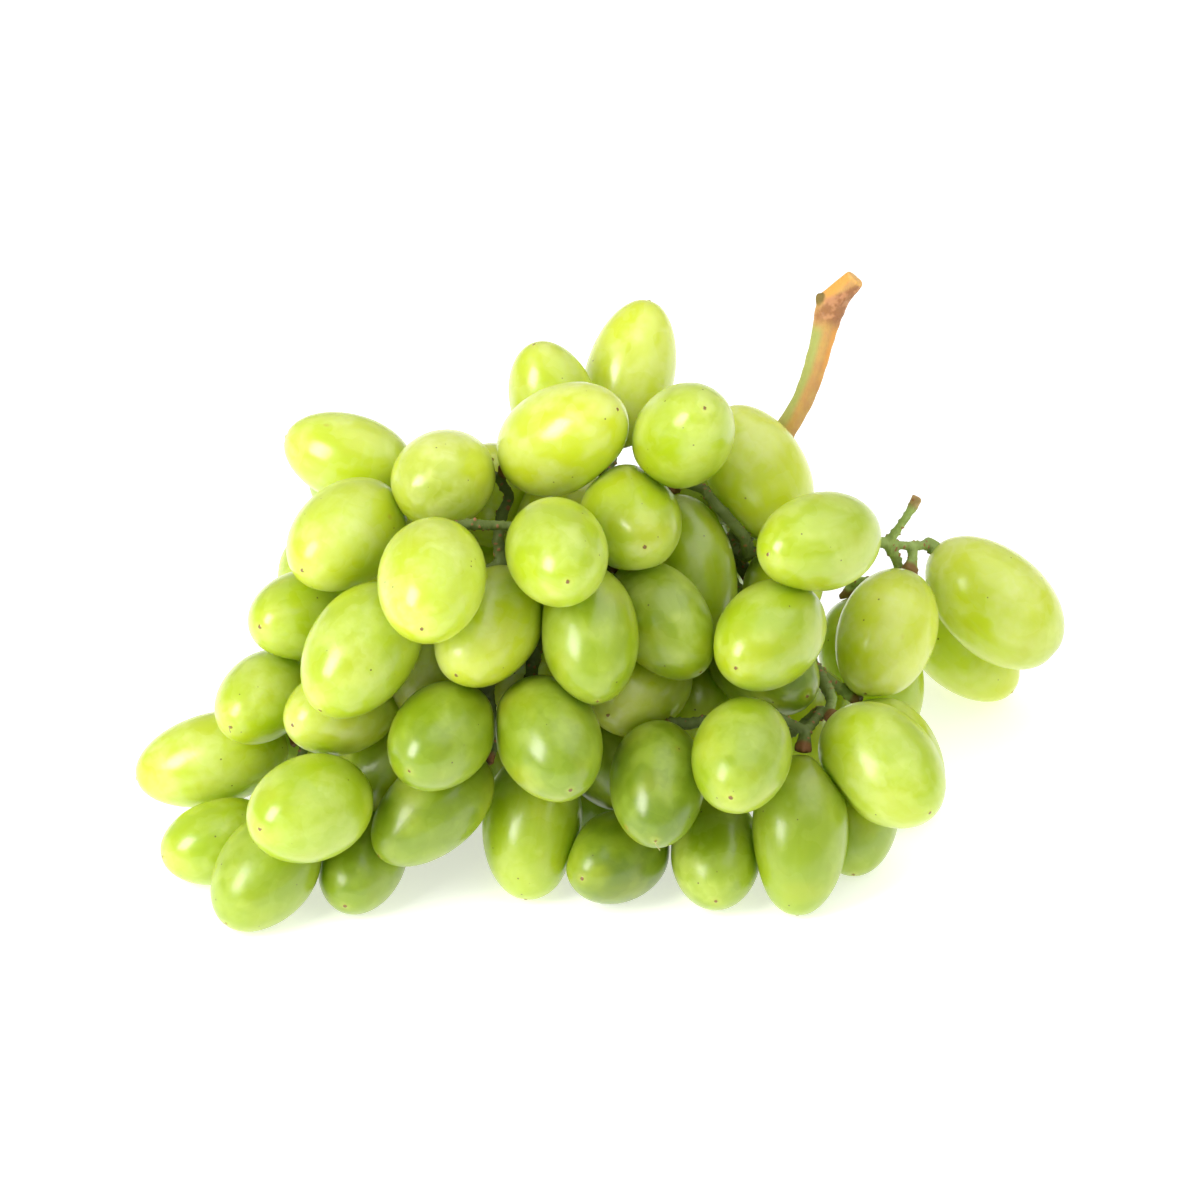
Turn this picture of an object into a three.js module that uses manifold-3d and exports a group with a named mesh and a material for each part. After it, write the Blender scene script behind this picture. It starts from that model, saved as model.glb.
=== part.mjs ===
// A bunch of white table grapes, laid on a flat surface with its cut stalk standing up.
// Millimetres, +Z up, the surface at z = 0. +X runs along the bunch, its front faces -Y, and
// the origin is on the surface, under the middle of the bunch.
//
// The berries grow on one branched stalk. Those of the front and the top are placed one by one,
// and those of the back, the underside and the inside by a seeded rule. All of them are then
// settled against each other and the surface, and are pressed flat where they touch.
import * as THREE from "three";
import { mergeVertices } from "three/addons/utils/BufferGeometryUtils.js";
import Module from "manifold-3d";

const wasm = await Module();
wasm.setup();

// ---- driving dimensions -------------------------------------------------------------------
const FRONT_LEAN = 32; // degrees that the plane of the front leans back from upright
const EGG = 0.1; // how much slimmer a berry is at its tip than at its stalk end
const CONTACT_GAP = 0.3; // clear space left between two pressed berries
const SQUEEZE = 0.9; // how far two touching berries are pressed into each other
const SURFACE_DENT = 0.7; // how far the lowest berries are flattened by the surface
const HOLD = 1.8; // how far the berries of one clump run into each other

// Berries of the front and the top. Each row places a berry's middle across, up and behind the
// leaning plane, then gives the way that its tip points: its turn in the plane from +X towards
// up, and its lean out of the plane towards the front. Last come its length and its girth.
const SHOWN_BERRIES = [
  [-46.5, 88.5, 20, 161, 0, 25.4, 16.8],
  [-29.0, 84.6, 3, 210, 68, 27.5, 18.2],
  [-47.0, 74.2, 0, 219, 42, 28.0, 19.2],
  [-31.1, 65.6, -16, 259, 50, 28.0, 20.2],
  [-6.8, 92.2, 3, 28, 38, 29.0, 20.0],
  [-8.7, 99.0, 25, 108, 24, 24.4, 16.2],
  [5.5, 104.2, 29, 75, 0, 28.8, 16.8],
  [15.5, 92.7, -3, 52, 64, 28.0, 18.4],
  [28.7, 85.2, 14, 118, 10, 27.6, 18.8],
  [5.9, 77.0, 3, 296, 65, 27.5, 18.8],
  [-7.8, 70.7, -12, 290, 66, 28.0, 19.0],
  [16.7, 67.6, 12, 283, 10, 29.6, 17.4],
  [40.3, 72.8, 0, 194, 46, 28.0, 18.6],
  [74.0, 61.5, 52, 318, 0, 29.6, 20.0],
  [53.3, 55.8, 38, 250, 30, 27.5, 18.6],
  [67.9, 53.4, 67, 318, 10, 25.6, 16.4],
  [50.9, 49.5, 55, 290, 10, 28.5, 18.6],
  [52.1, 31.2, 18, 315, 32, 28.8, 20.4],
  [31.2, 55.7, -3, 224, 52, 28.0, 19.2],
  [30.5, 50.5, 12, 325, 40, 26.0, 17.4],
  [11.1, 58.4, 6, 307, 20, 25.6, 17.8],
  [-2.0, 56.0, -8, 277, 25, 27.6, 18.5],
  [7.4, 46.0, 2, 221, 52, 25.6, 17.4],
  [-20.5, 57.2, -13, 236, 40, 28.0, 18.8],
  [-44.2, 52.8, -9, 236, 22, 28.6, 20.2],
  [-55.0, 59.4, 8, 195, 50, 26.0, 17.0],
  [-62.5, 44.1, 8, 222, 48, 24.0, 16.0],
  [-47.5, 42.0, -4, 197, 45, 26.6, 16.8],
  [-29.4, 37.0, -11, 228, 50, 26.6, 18.6],
  [-9.4, 36.5, -11, 293, 42, 27.6, 19.6],
  [-72.0, 32.6, 21, 194, 0, 29.4, 17.4],
  [-53.8, 23.6, -5, 202, 45, 27.6, 20.0],
  [-70.6, 17.3, 12, 195, 20, 23.0, 16.0],
  [-61.8, 12.2, 0, 233, 20, 26.0, 18.4],
  [-44.0, 14.7, 6, 250, 40, 24.0, 16.4],
  [-31.1, 23.7, 0, 222, 15, 27.4, 17.2],
  [-12.4, 20.6, 7, 265, 10, 28.0, 18.8],
  [10.5, 28.2, -2, 268, 40, 27.4, 17.8],
  [26.1, 33.4, -11, 255, 55, 27.6, 18.6],
  [3.1, 14.9, 8, 211, 52, 25.0, 17.2],
  [21.5, 15.3, 8, 270, 45, 25.0, 17.2],
  [37.2, 19.1, 4, 268, 0, 30.3, 18.1],
  [47.1, 22.4, 28, 270, 20, 25.0, 17.2],
];

// Berries that only peep out between those, in rows of the same kind.
const PEEPING_BERRIES = [
  [-22.6, 80.8, 25, 90, 60, 26, 17.0],
  [-7.0, 91.5, 38, 150, -50, 26, 17.4],
  [30.5, 62.0, 27, 250, 60, 24, 15.0],
  [54.2, 33.0, 32, 300, 10, 25, 17.5],
  [-33.3, 51.0, 6, 250, 20, 26, 17.5],
  [-14.8, 53.0, 7, 260, 20, 26, 17.5],
  [-39.8, 28.8, 9, 240, 20, 26, 17.5],
  [-0.4, 29.7, 26, 270, 20, 24, 17.0],
  [17.6, 42.1, 27, 270, 30, 24, 16.5],
  [40.7, 38.4, 34, 280, 20, 25, 17.0],
];

// The other berries are drawn by chance inside a rounded body, where the front covers them.
const BODY_MIDDLE = [-4, 54, 37];
const BODY_REACH = [64, 41, 31];
const BODY_BLUNTNESS = 3.5;
const FILLING_LENGTH = [24.5, 28];
const FILLING_GIRTH = [16.6, 18.8];
const FILLING_TRIES = 5000;
const FILLING_SEED = 3;
const LEAST_FREE = -3.4; // how far a drawn berry may run into its neighbours before settling
const HIDDEN_MARGIN = 1; // how far inside the outline of the front they stay
const MAIN_STEM_CLEARANCE = 13; // from their middles to the axis of the bunch
const OPENINGS = [
  [41.6, 60.6, 200],
  [5.0, 87.9, 200],
  [-18.5, 76.5, 21],
]; // across and up, and how deep; light shows through the deepest
const OPEN_REACH = 3; // half the width of those openings
const CLUMP_COUNT = 14;
const CLUMP_REACH = 25; // the most between the middles of two berries joined in one clump

// Stems, as points across, up and behind the leaning plane, with the radius of the stem there.
// The peduncle runs from its cut end, over a swollen joint, down into the bunch.
const PEDUNCLE = [
  [47.5, 122.0, 21, 1.95],
  [45.4, 120.0, 21.4, 2.15],
  [43.1, 117.6, 22, 2.9],
  [42.3, 115.0, 22.4, 2.65],
  [41.8, 112.5, 22.8, 2.3],
  [40.9, 109.0, 23.5, 2.15],
  [39.6, 104.5, 24.5, 2.05],
  [38.0, 100.0, 25.5, 1.95],
  [35.9, 96.2, 26.3, 2.0],
  [34.0, 93.0, 27.2, 2.1],
  [31.6, 88.0, 28.6, 2.1],
];
const PEDUNCLE_STEPS = 12;
const BUD = [
  [42.0, 116.6, 21.6, 1.3],
  [40.9, 117.8, 20.6, 1.0],
  [40.5, 119.0, 20, 0.5],
];
const BUD_STEPS = 2;
// The main stem goes on from the peduncle along the axis of the bunch.
const MAIN_STEM = [
  [34.0, 93.0, 27.2, 1.9],
  [31.0, 86.0, 29.4, 2.1],
  [28.4, 79.0, 30.2, 2.2],
  [24.4, 71.4, 29.4, 2.4],
  [13.4, 64.5, 28, 2.2],
  [-4.0, 60.0, 26.4, 2.0],
  [-20.0, 56.0, 25, 1.8],
  [-38.0, 49.5, 24, 1.6],
  [-54.0, 42.0, 22, 1.4],
];
const MAIN_STEPS = 16;
const MAIN_FIRST_JOINT = 2; // the first step of the main stem that shoots may grow from
const SHOOTS = [
  [
    [28.6, 79.4, 30, 1.5],
    [42.0, 75.5, 36, 1.3],
    [53.6, 72.7, 44, 1.05],
  ],
  [
    [53.6, 72.7, 44, 1.0],
    [57.2, 72.4, 46.5, 0.8],
    [60.6, 72.4, 50, 0.85],
  ],
  [
    [53.6, 72.7, 44, 1.0],
    [55.0, 70.6, 45.5, 0.95],
    [55.8, 68.2, 48, 0.95],
    [56.5, 66.0, 51, 0.9],
  ],
  [
    [24.4, 71.4, 29.4, 1.5],
    [31.0, 62.0, 35, 1.4],
    [37.0, 53.5, 32, 1.3],
    [40.7, 48.6, 27, 1.2],
    [43.2, 42.0, 21, 1.1],
    [39.0, 40.4, 17.5, 1.0],
  ],
  [
    [24.8, 72.0, 29.4, 1.5],
    [27.4, 70.6, 19, 1.3],
    [26.6, 74.4, 14, 1.2],
    [23.2, 77.9, 12, 1.1],
    [19.3, 82.8, 13, 1.0],
  ],
  [
    [-12.0, 58.5, 25.6, 1.4],
    [-15.6, 63.0, 18, 1.3],
    [-18.2, 69.5, 13, 1.2],
    [-18.9, 75.5, 12, 1.1],
    [-16.6, 81.6, 13, 1.0],
  ],
];
const SHOOT_STEP = 4.5;
const FREE_STUB = [
  [53.6, 72.7, 44, 1.05],
  [55.2, 75.1, 43, 0.8],
  [57.0, 77.6, 42, 0.75],
  [58.2, 79.5, 41.6, 0.85],
  [58.7, 80.6, 41.4, 1.35],
  [59.1, 81.5, 41.2, 1.15],
];
const STUB_STEPS = 6;
const PEDICEL_RADIUS = 0.95;
const PEDICEL_STEP = 4.5;
const PEDICEL_START = 3.0; // how far a pedicel runs straight out of its berry
const PEDICEL_CLEARANCE = 0.45;
const RECEPTACLE_RADIUS = 1.75; // the knob in which a pedicel ends at its berry
const STEM_ROOM = 2.9; // what berries keep free round the main stem
const SHOOT_ROOM = 2.1;
const STUB_ROOM = 1.5;

// How finely each kind of berry and its pedicel are faceted.
const FINENESS = {
  shown: { sides: 12, rings: 7, pedicelSides: 4, mostSteps: 3 },
  peeping: { sides: 10, rings: 6, pedicelSides: 4, mostSteps: 3 },
  filling: { sides: 9, rings: 6, pedicelSides: 3, mostSteps: 3 },
};
const STALK_SIDES = 8;
const SHOOT_SIDES = 5;

const BERRY_COLOUR = 0xb9cf55;
const SHADED_BERRY_COLOUR = 0xa9c24a;
const STALK_COLOUR = 0x9a8a4a;

// ---- places -------------------------------------------------------------------------------
const deg = THREE.MathUtils.degToRad;
const vec = (x, y, z) => new THREE.Vector3(x, y, z);
const ACROSS = vec(1, 0, 0);
const UP = vec(0, Math.sin(deg(FRONT_LEAN)), Math.cos(deg(FRONT_LEAN)));
const BEHIND = vec(0, Math.cos(deg(FRONT_LEAN)), -Math.sin(deg(FRONT_LEAN)));
const DOWN = vec(0, 0, -1);

function leaning(across, up, behind) {
  const place = ACROSS.clone().multiplyScalar(across);
  return place.addScaledVector(UP, up).addScaledVector(BEHIND, behind);
}

const wayOf = (turn, lean) =>
  leaning(
    Math.cos(deg(lean)) * Math.cos(deg(turn)),
    Math.cos(deg(lean)) * Math.sin(deg(turn)),
    -Math.sin(deg(lean)),
  );

const sideOf = (way) => way.clone().addScaledVector(BEHIND, -way.dot(BEHIND));
const smoothed = (places) => new THREE.CatmullRomCurve3(places, false, "centripetal");
const curveOf = (rows) => smoothed(rows.map((row) => leaning(...row.slice(0, 3))));

// Even, repeatable draws between 0 and 1.
function drawsFrom(seed) {
  let state = seed;
  return () => {
    state = (state + 0x6d2b79f5) | 0;
    let mixed = Math.imul(state ^ (state >>> 15), 1 | state);
    mixed = (mixed + Math.imul(mixed ^ (mixed >>> 7), 61 | mixed)) ^ mixed;
    return ((mixed ^ (mixed >>> 14)) >>> 0) / 4294967296;
  };
}

// ---- berries, each a row of balls while they settle ---------------------------------------
const BALL_SHARES = [-1, -0.55, 0, 0.55, 1];

function makeBerry(kind, middle, tip, length, girth) {
  const long = length / 2;
  const wide = girth / 2;
  const spread = (long * long - wide * wide) / long;
  const balls = BALL_SHARES.map((share) => ({
    along: share * spread,
    radius: wide * Math.sqrt(1 - (share * share * spread) / long) * (1 - (EGG / 2) * share),
  }));
  return { kind, middle, home: middle.clone(), tip, length, girth, balls, clump: null, tied: [] };
}

const placed = (kind) => ([across, up, behind, turn, lean, length, girth]) =>
  makeBerry(kind, leaning(across, up, behind), wayOf(turn, lean), length, girth);

const ballMiddle = (berry, ball) => berry.middle.clone().addScaledVector(berry.tip, ball.along);

// The balls of two berries that come nearest to each other, or run deepest together.
function touchOf(one, other) {
  let best = null;
  for (const ball of one.balls) {
    const from = ballMiddle(one, ball);
    for (const match of other.balls) {
      const way = ballMiddle(other, match).sub(from);
      const gap = way.length() - ball.radius - match.radius;
      if (best === null || gap < best.gap) {
        best = { gap, from, way: way.normalize(), radius: ball.radius };
      }
    }
  }
  return best;
}

function lowestPoint({ middle, tip, length, girth }) {
  return middle.z - Math.hypot((length / 2) * tip.z, (girth / 2) * Math.hypot(tip.x, tip.y));
}

// ---- settling -----------------------------------------------------------------------------
// A placed berry gives way mostly straight behind, so that its place in the front is kept.
const SIDEWAYS_GIVE = { shown: 0.12, peeping: 0.4, filling: 1 };
const HOME_PULL = { shown: 0.2, peeping: 0.08, filling: 0.06 };
const DEPTH_PULL = 0.02;
const SURFACE_CATCH = 6;
const SURFACE_PULL = 0.15;

function push(berry, way, amount) {
  berry.middle.addScaledVector(BEHIND, way.dot(BEHIND) * amount);
  berry.middle.addScaledVector(sideOf(way), amount * SIDEWAYS_GIVE[berry.kind]);
}

function pullHome(berry) {
  const way = berry.home.clone().sub(berry.middle);
  berry.middle.addScaledVector(sideOf(way), HOME_PULL[berry.kind]);
  berry.middle.addScaledVector(BEHIND, way.dot(BEHIND) * DEPTH_PULL);
}

function partBerries(one, other) {
  if (one.middle.distanceTo(other.middle) > (one.length + other.length) / 2) return;
  const tied = one.tied.includes(other);
  const mates = one.clump !== null && one.clump === other.clump;
  const touch = touchOf(one, other);
  const wanted = mates ? -HOLD : -SQUEEZE;
  if (touch.gap < wanted || tied) {
    push(one, touch.way, (touch.gap - wanted) / 2);
    push(other, touch.way, (wanted - touch.gap) / 2);
  }
}

function clearStem(berry, stem) {
  if (berry.middle.distanceTo(stem.place) > berry.length / 2 + stem.room) return;
  for (const ball of berry.balls) {
    const way = ballMiddle(berry, ball).sub(stem.place);
    const lack = ball.radius + stem.room - way.length();
    if (lack > 0) push(berry, way.normalize(), lack * 0.6);
  }
}

// The surface lifts what sinks into it, and berries close above it come down to it.
function meetSurface(berry) {
  const low = -SURFACE_DENT - lowestPoint(berry);
  if (low < -SURFACE_CATCH) return;
  const sunk = low > 0 ? low : low * SURFACE_PULL;
  const forward = berry.kind === "filling" ? 0 : 0.6;
  berry.middle.addScaledVector(BEHIND, (-forward * sunk) / Math.sin(deg(FRONT_LEAN)));
  berry.middle.z += (1 - forward) * sunk;
}

function settle(rounds) {
  for (let round = 0; round < rounds; round += 1) {
    berries.forEach(pullHome);
    berries.forEach((berry, index) => {
      berries.slice(index + 1).forEach((other) => partBerries(berry, other));
      stemRoom.forEach((stem) => clearStem(berry, stem));
      meetSurface(berry);
    });
  }
}

const roomAlong = (room) => (rows) => {
  const curve = curveOf(rows);
  return curve.getSpacedPoints(Math.ceil(curve.getLength() / 3)).map((place) => ({ place, room }));
};

const stemRoom = [
  ...roomAlong(STEM_ROOM)(PEDUNCLE),
  ...roomAlong(STEM_ROOM)(MAIN_STEM),
  ...SHOOTS.flatMap(roomAlong(SHOOT_ROOM)),
  ...roomAlong(STUB_ROOM)(FREE_STUB),
];
const berries = [
  ...SHOWN_BERRIES.map(placed("shown")),
  ...PEEPING_BERRIES.map(placed("peeping")),
];
settle(200);

// ---- the berries of the back, the underside and the inside --------------------------------
const bodyMiddle = vec(...BODY_MIDDLE);
const bodyReach = vec(...BODY_REACH);

function inBody(place) {
  const share = place.clone().sub(bodyMiddle).divide(bodyReach);
  return share.toArray().reduce((sum, part) => sum + Math.abs(part) ** BODY_BLUNTNESS, 0) <= 1;
}

// Whether a point lies behind a berry, seen square to the leaning plane.
function isBehind(berry, point) {
  const way = point.clone().sub(berry.middle);
  if (way.dot(BEHIND) < 0) return false;
  const tip = sideOf(berry.tip);
  const flat = sideOf(way);
  const wide = berry.girth / 2;
  const long = Math.hypot((berry.length / 2) * tip.length(), wide * Math.sqrt(1 - tip.lengthSq()));
  const along = flat.dot(tip.normalize());
  const aside = Math.sqrt(Math.max(0, flat.lengthSq() - along * along));
  return Math.hypot(along / long, aside / wide) < 1;
}

function isHidden(fronts, middle, reach) {
  for (let step = 0; step < 8; step += 1) {
    const turn = (step / 8) * 2 * Math.PI;
    const edge = middle.clone().addScaledVector(ACROSS, reach * Math.cos(turn));
    edge.addScaledVector(UP, reach * Math.sin(turn));
    if (!fronts.some((berry) => isBehind(berry, edge))) return false;
  }
  return true;
}

function closesOpening(middle, reach) {
  return OPENINGS.some(([across, up, depth]) => {
    const aside = Math.hypot(middle.dot(ACROSS) - across, middle.dot(UP) - up);
    return aside < reach + OPEN_REACH && middle.dot(BEHIND) < depth;
  });
}

function fillBody() {
  const draw = drawsFrom(FILLING_SEED);
  const between = ([low, high]) => low + (high - low) * draw();
  const fronts = [...berries];
  const axis = roomAlong(STEM_ROOM)(MAIN_STEM).map((stem) => stem.place);
  for (let attempt = 0; attempt < FILLING_TRIES; attempt += 1) {
    const offset = vec(2 * draw() - 1, 2 * draw() - 1, 2 * draw() - 1).multiply(bodyReach);
    const middle = bodyMiddle.clone().add(offset);
    const jitter = vec(draw() - 0.5, draw() - 0.5, draw() - 0.5).multiplyScalar(0.9);
    const length = between(FILLING_LENGTH);
    const girth = between(FILLING_GIRTH);
    const ways = axis.map((place) => middle.clone().sub(place));
    const away = ways.reduce((best, way) => (way.length() < best.length() ? way : best));
    if (!inBody(middle) || away.length() < MAIN_STEM_CLEARANCE) continue;
    if (closesOpening(middle, girth / 2)) continue;
    if (!isHidden(fronts, middle, girth / 2 + HIDDEN_MARGIN)) continue;
    const tip = away.normalize().add(jitter).normalize();
    const berry = makeBerry("filling", middle, tip, length, girth);
    if (lowestPoint(berry) < -1.5) continue;
    if (berries.some((other) => touchOf(berry, other).gap < LEAST_FREE)) continue;
    berries.push(berry);
  }
}

fillBody();
settle(150);

// ---- clumps: hidden neighbours that are joined in one solid -------------------------------
function nearestMate(clump, free) {
  let best = null;
  for (const member of clump) {
    for (const berry of free) {
      const far = member.middle.distanceTo(berry.middle);
      if (far < CLUMP_REACH && (best === null || far < best.far)) best = { far, member, berry };
    }
  }
  return best;
}

function makeClumps(loose) {
  const free = [...loose].sort((one, other) => one.middle.x - other.middle.x);
  const clumps = [];
  while (free.length > 0) {
    const size = Math.ceil(free.length / Math.max(1, CLUMP_COUNT - clumps.length));
    const clump = [free.shift()];
    while (clump.length < size) {
      const mate = nearestMate(clump, free);
      if (mate === null) break;
      mate.berry.tied.push(mate.member);
      mate.member.tied.push(mate.berry);
      clump.push(mate.berry);
      free.splice(free.indexOf(mate.berry), 1);
    }
    clump.forEach((berry) => {
      berry.clump = clump;
    });
    clumps.push(clump);
  }
  return clumps;
}

const clumps = makeClumps(berries.filter((berry) => berry.kind !== "shown"));
settle(150);

// ---- solids -------------------------------------------------------------------------------
function solidOf(geometry) {
  const bare = geometry.clone();
  bare.deleteAttribute("normal");
  bare.deleteAttribute("uv");
  const merged = mergeVertices(bare, 1e-4);
  const vertProperties = new Float32Array(merged.attributes.position.array);
  const triVerts = new Uint32Array(merged.index.array);
  return new wasm.Manifold(new wasm.Mesh({ numProp: 3, vertProperties, triVerts }));
}

function geometryOf(solid) {
  const mesh = solid.getMesh();
  const places = new THREE.BufferAttribute(new Float32Array(mesh.vertProperties), 3);
  const geometry = new THREE.BufferGeometry();
  geometry.setAttribute("position", places);
  geometry.setIndex(new THREE.BufferAttribute(new Uint32Array(mesh.triVerts), 1));
  return geometry;
}

const joined = (solids) => solids.reduce((whole, next) => whole.add(next));

// The block under the surface, which cuts the lowest berries flat.
function surfaceBlock() {
  const block = new THREE.BoxGeometry(400, 400, 20);
  block.translate(0, 0, -10);
  return solidOf(block);
}

// ---- berries as solids --------------------------------------------------------------------
// The planes in which a berry meets its neighbours.
function flatsOf(berry) {
  const flats = [];
  for (const other of berries) {
    const mates = berry.clump !== null && berry.clump === other.clump;
    const near = (berry.length + other.length) / 2 + 1;
    if (other === berry || mates || other.middle.distanceTo(berry.middle) > near) continue;
    const touch = touchOf(berry, other);
    if (touch.gap > 2 * CONTACT_GAP) continue;
    const meeting = touch.from.addScaledVector(touch.way, touch.radius + touch.gap / 2);
    const reach = meeting.sub(berry.middle).dot(touch.way) - CONTACT_GAP / 2;
    flats.push({ way: touch.way, reach });
  }
  return flats;
}

// An egg-shaped solid of revolution, drawn in towards its middle where it passes a flat.
function berryGeometry(berry, grow, flats) {
  const { sides, rings } = FINENESS[berry.kind];
  const profile = [];
  for (let ring = 0; ring <= rings; ring += 1) {
    const turn = (ring / rings) * Math.PI;
    const onAxis = ring === 0 || ring === rings;
    const radius = (berry.girth / 2 + grow) * Math.sin(turn) * (1 + (EGG / 2) * Math.cos(turn));
    const along = -(berry.length / 2 + grow) * Math.cos(turn);
    profile.push(new THREE.Vector2(onAxis ? 0 : radius, along));
  }
  const geometry = new THREE.LatheGeometry(profile, sides);
  geometry.applyQuaternion(new THREE.Quaternion().setFromUnitVectors(vec(0, 1, 0), berry.tip));
  const spots = geometry.attributes.position;
  for (let index = 0; index < spots.count; index += 1) {
    const spot = vec(0, 0, 0).fromBufferAttribute(spots, index);
    let share = 1;
    for (const flat of flats) {
      share = Math.min(share, flat.reach / Math.max(flat.reach, spot.dot(flat.way)));
    }
    spot.multiplyScalar(share).add(berry.middle);
    spots.setXYZ(index, spot.x, spot.y, spot.z);
  }
  return geometry;
}

function berrySolid(berry) {
  const solid = solidOf(berryGeometry(berry, 0, flatsOf(berry)));
  return lowestPoint(berry) < 0 ? solid.subtract(surfaceBlock()) : solid;
}

// ---- the stalk ----------------------------------------------------------------------------
// The radius at a share of the length of a curve, between the radii of its points.
const radiusAlong = (curve, radii) => (share) => {
  const spot = curve.getUtoTmapping(share) * (radii.length - 1);
  const index = Math.min(Math.floor(spot), radii.length - 2);
  return radii[index] + (radii[index + 1] - radii[index]) * (spot - index);
};

// A stem along a curve, with its radius changing evenly from each of the radii to the next.
function stemSolid(curve, radii, sides, steps) {
  const outline = [];
  for (let side = 0; side < sides; side += 1) {
    const turn = (side / sides) * 2 * Math.PI;
    outline.push(new THREE.Vector2(Math.cos(turn), Math.sin(turn)));
  }
  const options = { steps, extrudePath: curve, bevelEnabled: false };
  const geometry = new THREE.ExtrudeGeometry(new THREE.Shape(outline), options);
  const stations = curve.getSpacedPoints(steps);
  const radiusAt = radiusAlong(curve, radii);
  const spots = geometry.attributes.position;
  for (let index = 0; index < spots.count; index += 1) {
    const spot = vec(0, 0, 0).fromBufferAttribute(spots, index);
    const reaches = stations.map((station) => station.distanceTo(spot));
    const nearest = reaches.indexOf(Math.min(...reaches));
    spot.sub(stations[nearest]).multiplyScalar(radiusAt(nearest / steps)).add(stations[nearest]);
    spots.setXYZ(index, spot.x, spot.y, spot.z);
  }
  return solidOf(geometry);
}

const placedStem = (rows, sides, steps) =>
  stemSolid(
    curveOf(rows),
    rows.map((row) => row[3]),
    sides,
    steps,
  );

// How far a pedicel at a place would run into the berries, and the way out of them.
function crowding(place, radius) {
  const way = vec(0, 0, 0);
  let depth = 0;
  for (const berry of berries) {
    if (berry.middle.distanceTo(place) > berry.length / 2 + radius) continue;
    for (const ball of berry.balls) {
      const out = place.clone().sub(ballMiddle(berry, ball));
      const lack = ball.radius + radius - out.length();
      if (lack > 0) {
        way.addScaledVector(out.normalize(), lack);
        depth = Math.max(depth, lack);
      }
    }
  }
  return { way: way.normalize(), depth };
}

// The way of a pedicel from its berry to a joint of the stems, bent clear of other berries.
function routeBetween(start, leaving, joint) {
  const count = Math.max(1, Math.round(leaving.distanceTo(joint) / PEDICEL_STEP));
  const route = [start, leaving];
  for (let step = 1; step <= count; step += 1) {
    route.push(leaving.clone().lerp(joint, step / count));
  }
  for (let round = 0; round < 120; round += 1) {
    for (let index = 1; index < route.length - 1; index += 1) {
      const middle = route[index - 1].clone().lerp(route[index + 1], 0.5);
      if (index > 1) route[index].lerp(middle, 0.15);
      const { way, depth } = crowding(route[index], PEDICEL_RADIUS + PEDICEL_CLEARANCE);
      route[index].addScaledVector(way, Math.min(depth, 1.5) * 0.8);
    }
  }
  return route;
}

// The joint that is nearest, where a way through berries counts as longer.
function bestJoint(leaving, joints) {
  let best = null;
  for (const joint of joints) {
    let cost = joint.distanceTo(leaving);
    if (best !== null && cost > best.cost) continue;
    for (const share of [0.25, 0.5, 0.75]) {
      cost += 1.2 * crowding(leaving.clone().lerp(joint, share), PEDICEL_RADIUS).depth;
    }
    if (best === null || cost < best.cost) best = { cost, joint };
  }
  return best.joint;
}

// The largest connected body of a mesh, without scraps that a cut has left.
function largestBody(geometry) {
  const corners = geometry.index.array;
  const linked = Array.from({ length: geometry.attributes.position.count }, (_, spot) => spot);
  const rootOf = (spot) => {
    let root = spot;
    while (linked[root] !== root) {
      linked[root] = linked[linked[root]];
      root = linked[root];
    }
    return root;
  };
  for (let corner = 0; corner < corners.length; corner += 3) {
    linked[rootOf(corners[corner])] = rootOf(corners[corner + 1]);
    linked[rootOf(corners[corner + 1])] = rootOf(corners[corner + 2]);
  }
  const bodies = new Map();
  corners.forEach((spot) => {
    const root = rootOf(spot);
    bodies.set(root, [...(bodies.get(root) ?? []), spot]);
  });
  geometry.setIndex([...bodies.values()].reduce((most, next) => (next.length > most.length ? next : most)));
  return geometry;
}

function stalkGeometry() {
  const solids = [
    placedStem(PEDUNCLE, STALK_SIDES, PEDUNCLE_STEPS),
    placedStem(BUD, SHOOT_SIDES, BUD_STEPS),
    placedStem(MAIN_STEM, STALK_SIDES, MAIN_STEPS),
    placedStem(FREE_STUB, SHOOT_SIDES, STUB_STEPS),
  ];
  const joints = curveOf(MAIN_STEM).getSpacedPoints(MAIN_STEPS).slice(MAIN_FIRST_JOINT);
  for (const rows of SHOOTS) {
    const curve = curveOf(rows);
    const steps = Math.ceil(curve.getLength() / SHOOT_STEP);
    solids.push(placedStem(rows, SHOOT_SIDES, steps));
    joints.push(...curve.getSpacedPoints(steps).slice(1));
  }
  const outOf = (berry, far) => berry.middle.clone().addScaledVector(berry.tip, -berry.length / 2 - far);
  const fromStems = (place) => Math.min(...joints.map((joint) => joint.distanceTo(place)));
  const pedicels = berries.map((berry) => ({
    fineness: FINENESS[berry.kind],
    start: outOf(berry, CONTACT_GAP + 0.05),
    leaving: outOf(berry, PEDICEL_START),
    far: fromStems(outOf(berry, PEDICEL_START)),
  }));
  pedicels.sort((one, other) => one.far - other.far);
  for (const { fineness, start, leaving } of pedicels) {
    const route = routeBetween(start, leaving, bestJoint(leaving, joints));
    const curve = smoothed(route);
    const steps = Math.min(fineness.mostSteps, route.length - 1);
    const radii = [RECEPTACLE_RADIUS, PEDICEL_RADIUS, PEDICEL_RADIUS];
    solids.push(stemSolid(curve, radii, fineness.pedicelSides, steps));
    joints.push(...curve.getSpacedPoints(steps).slice(1));
  }
  const hollows = berries.map((berry) => solidOf(berryGeometry(berry, CONTACT_GAP + 0.05, [])));
  const stalk = hollows.reduce((rest, hollow) => rest.subtract(hollow), joined(solids));
  return largestBody(geometryOf(stalk));
}

// ---- the bunch ----------------------------------------------------------------------------
const bunch = new THREE.Group();

function addPiece(name, geometry, color, roughness) {
  const material = new THREE.MeshStandardMaterial({ color, roughness, metalness: 0 });
  const mesh = new THREE.Mesh(geometry, material);
  mesh.name = name;
  bunch.add(mesh);
}

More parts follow.
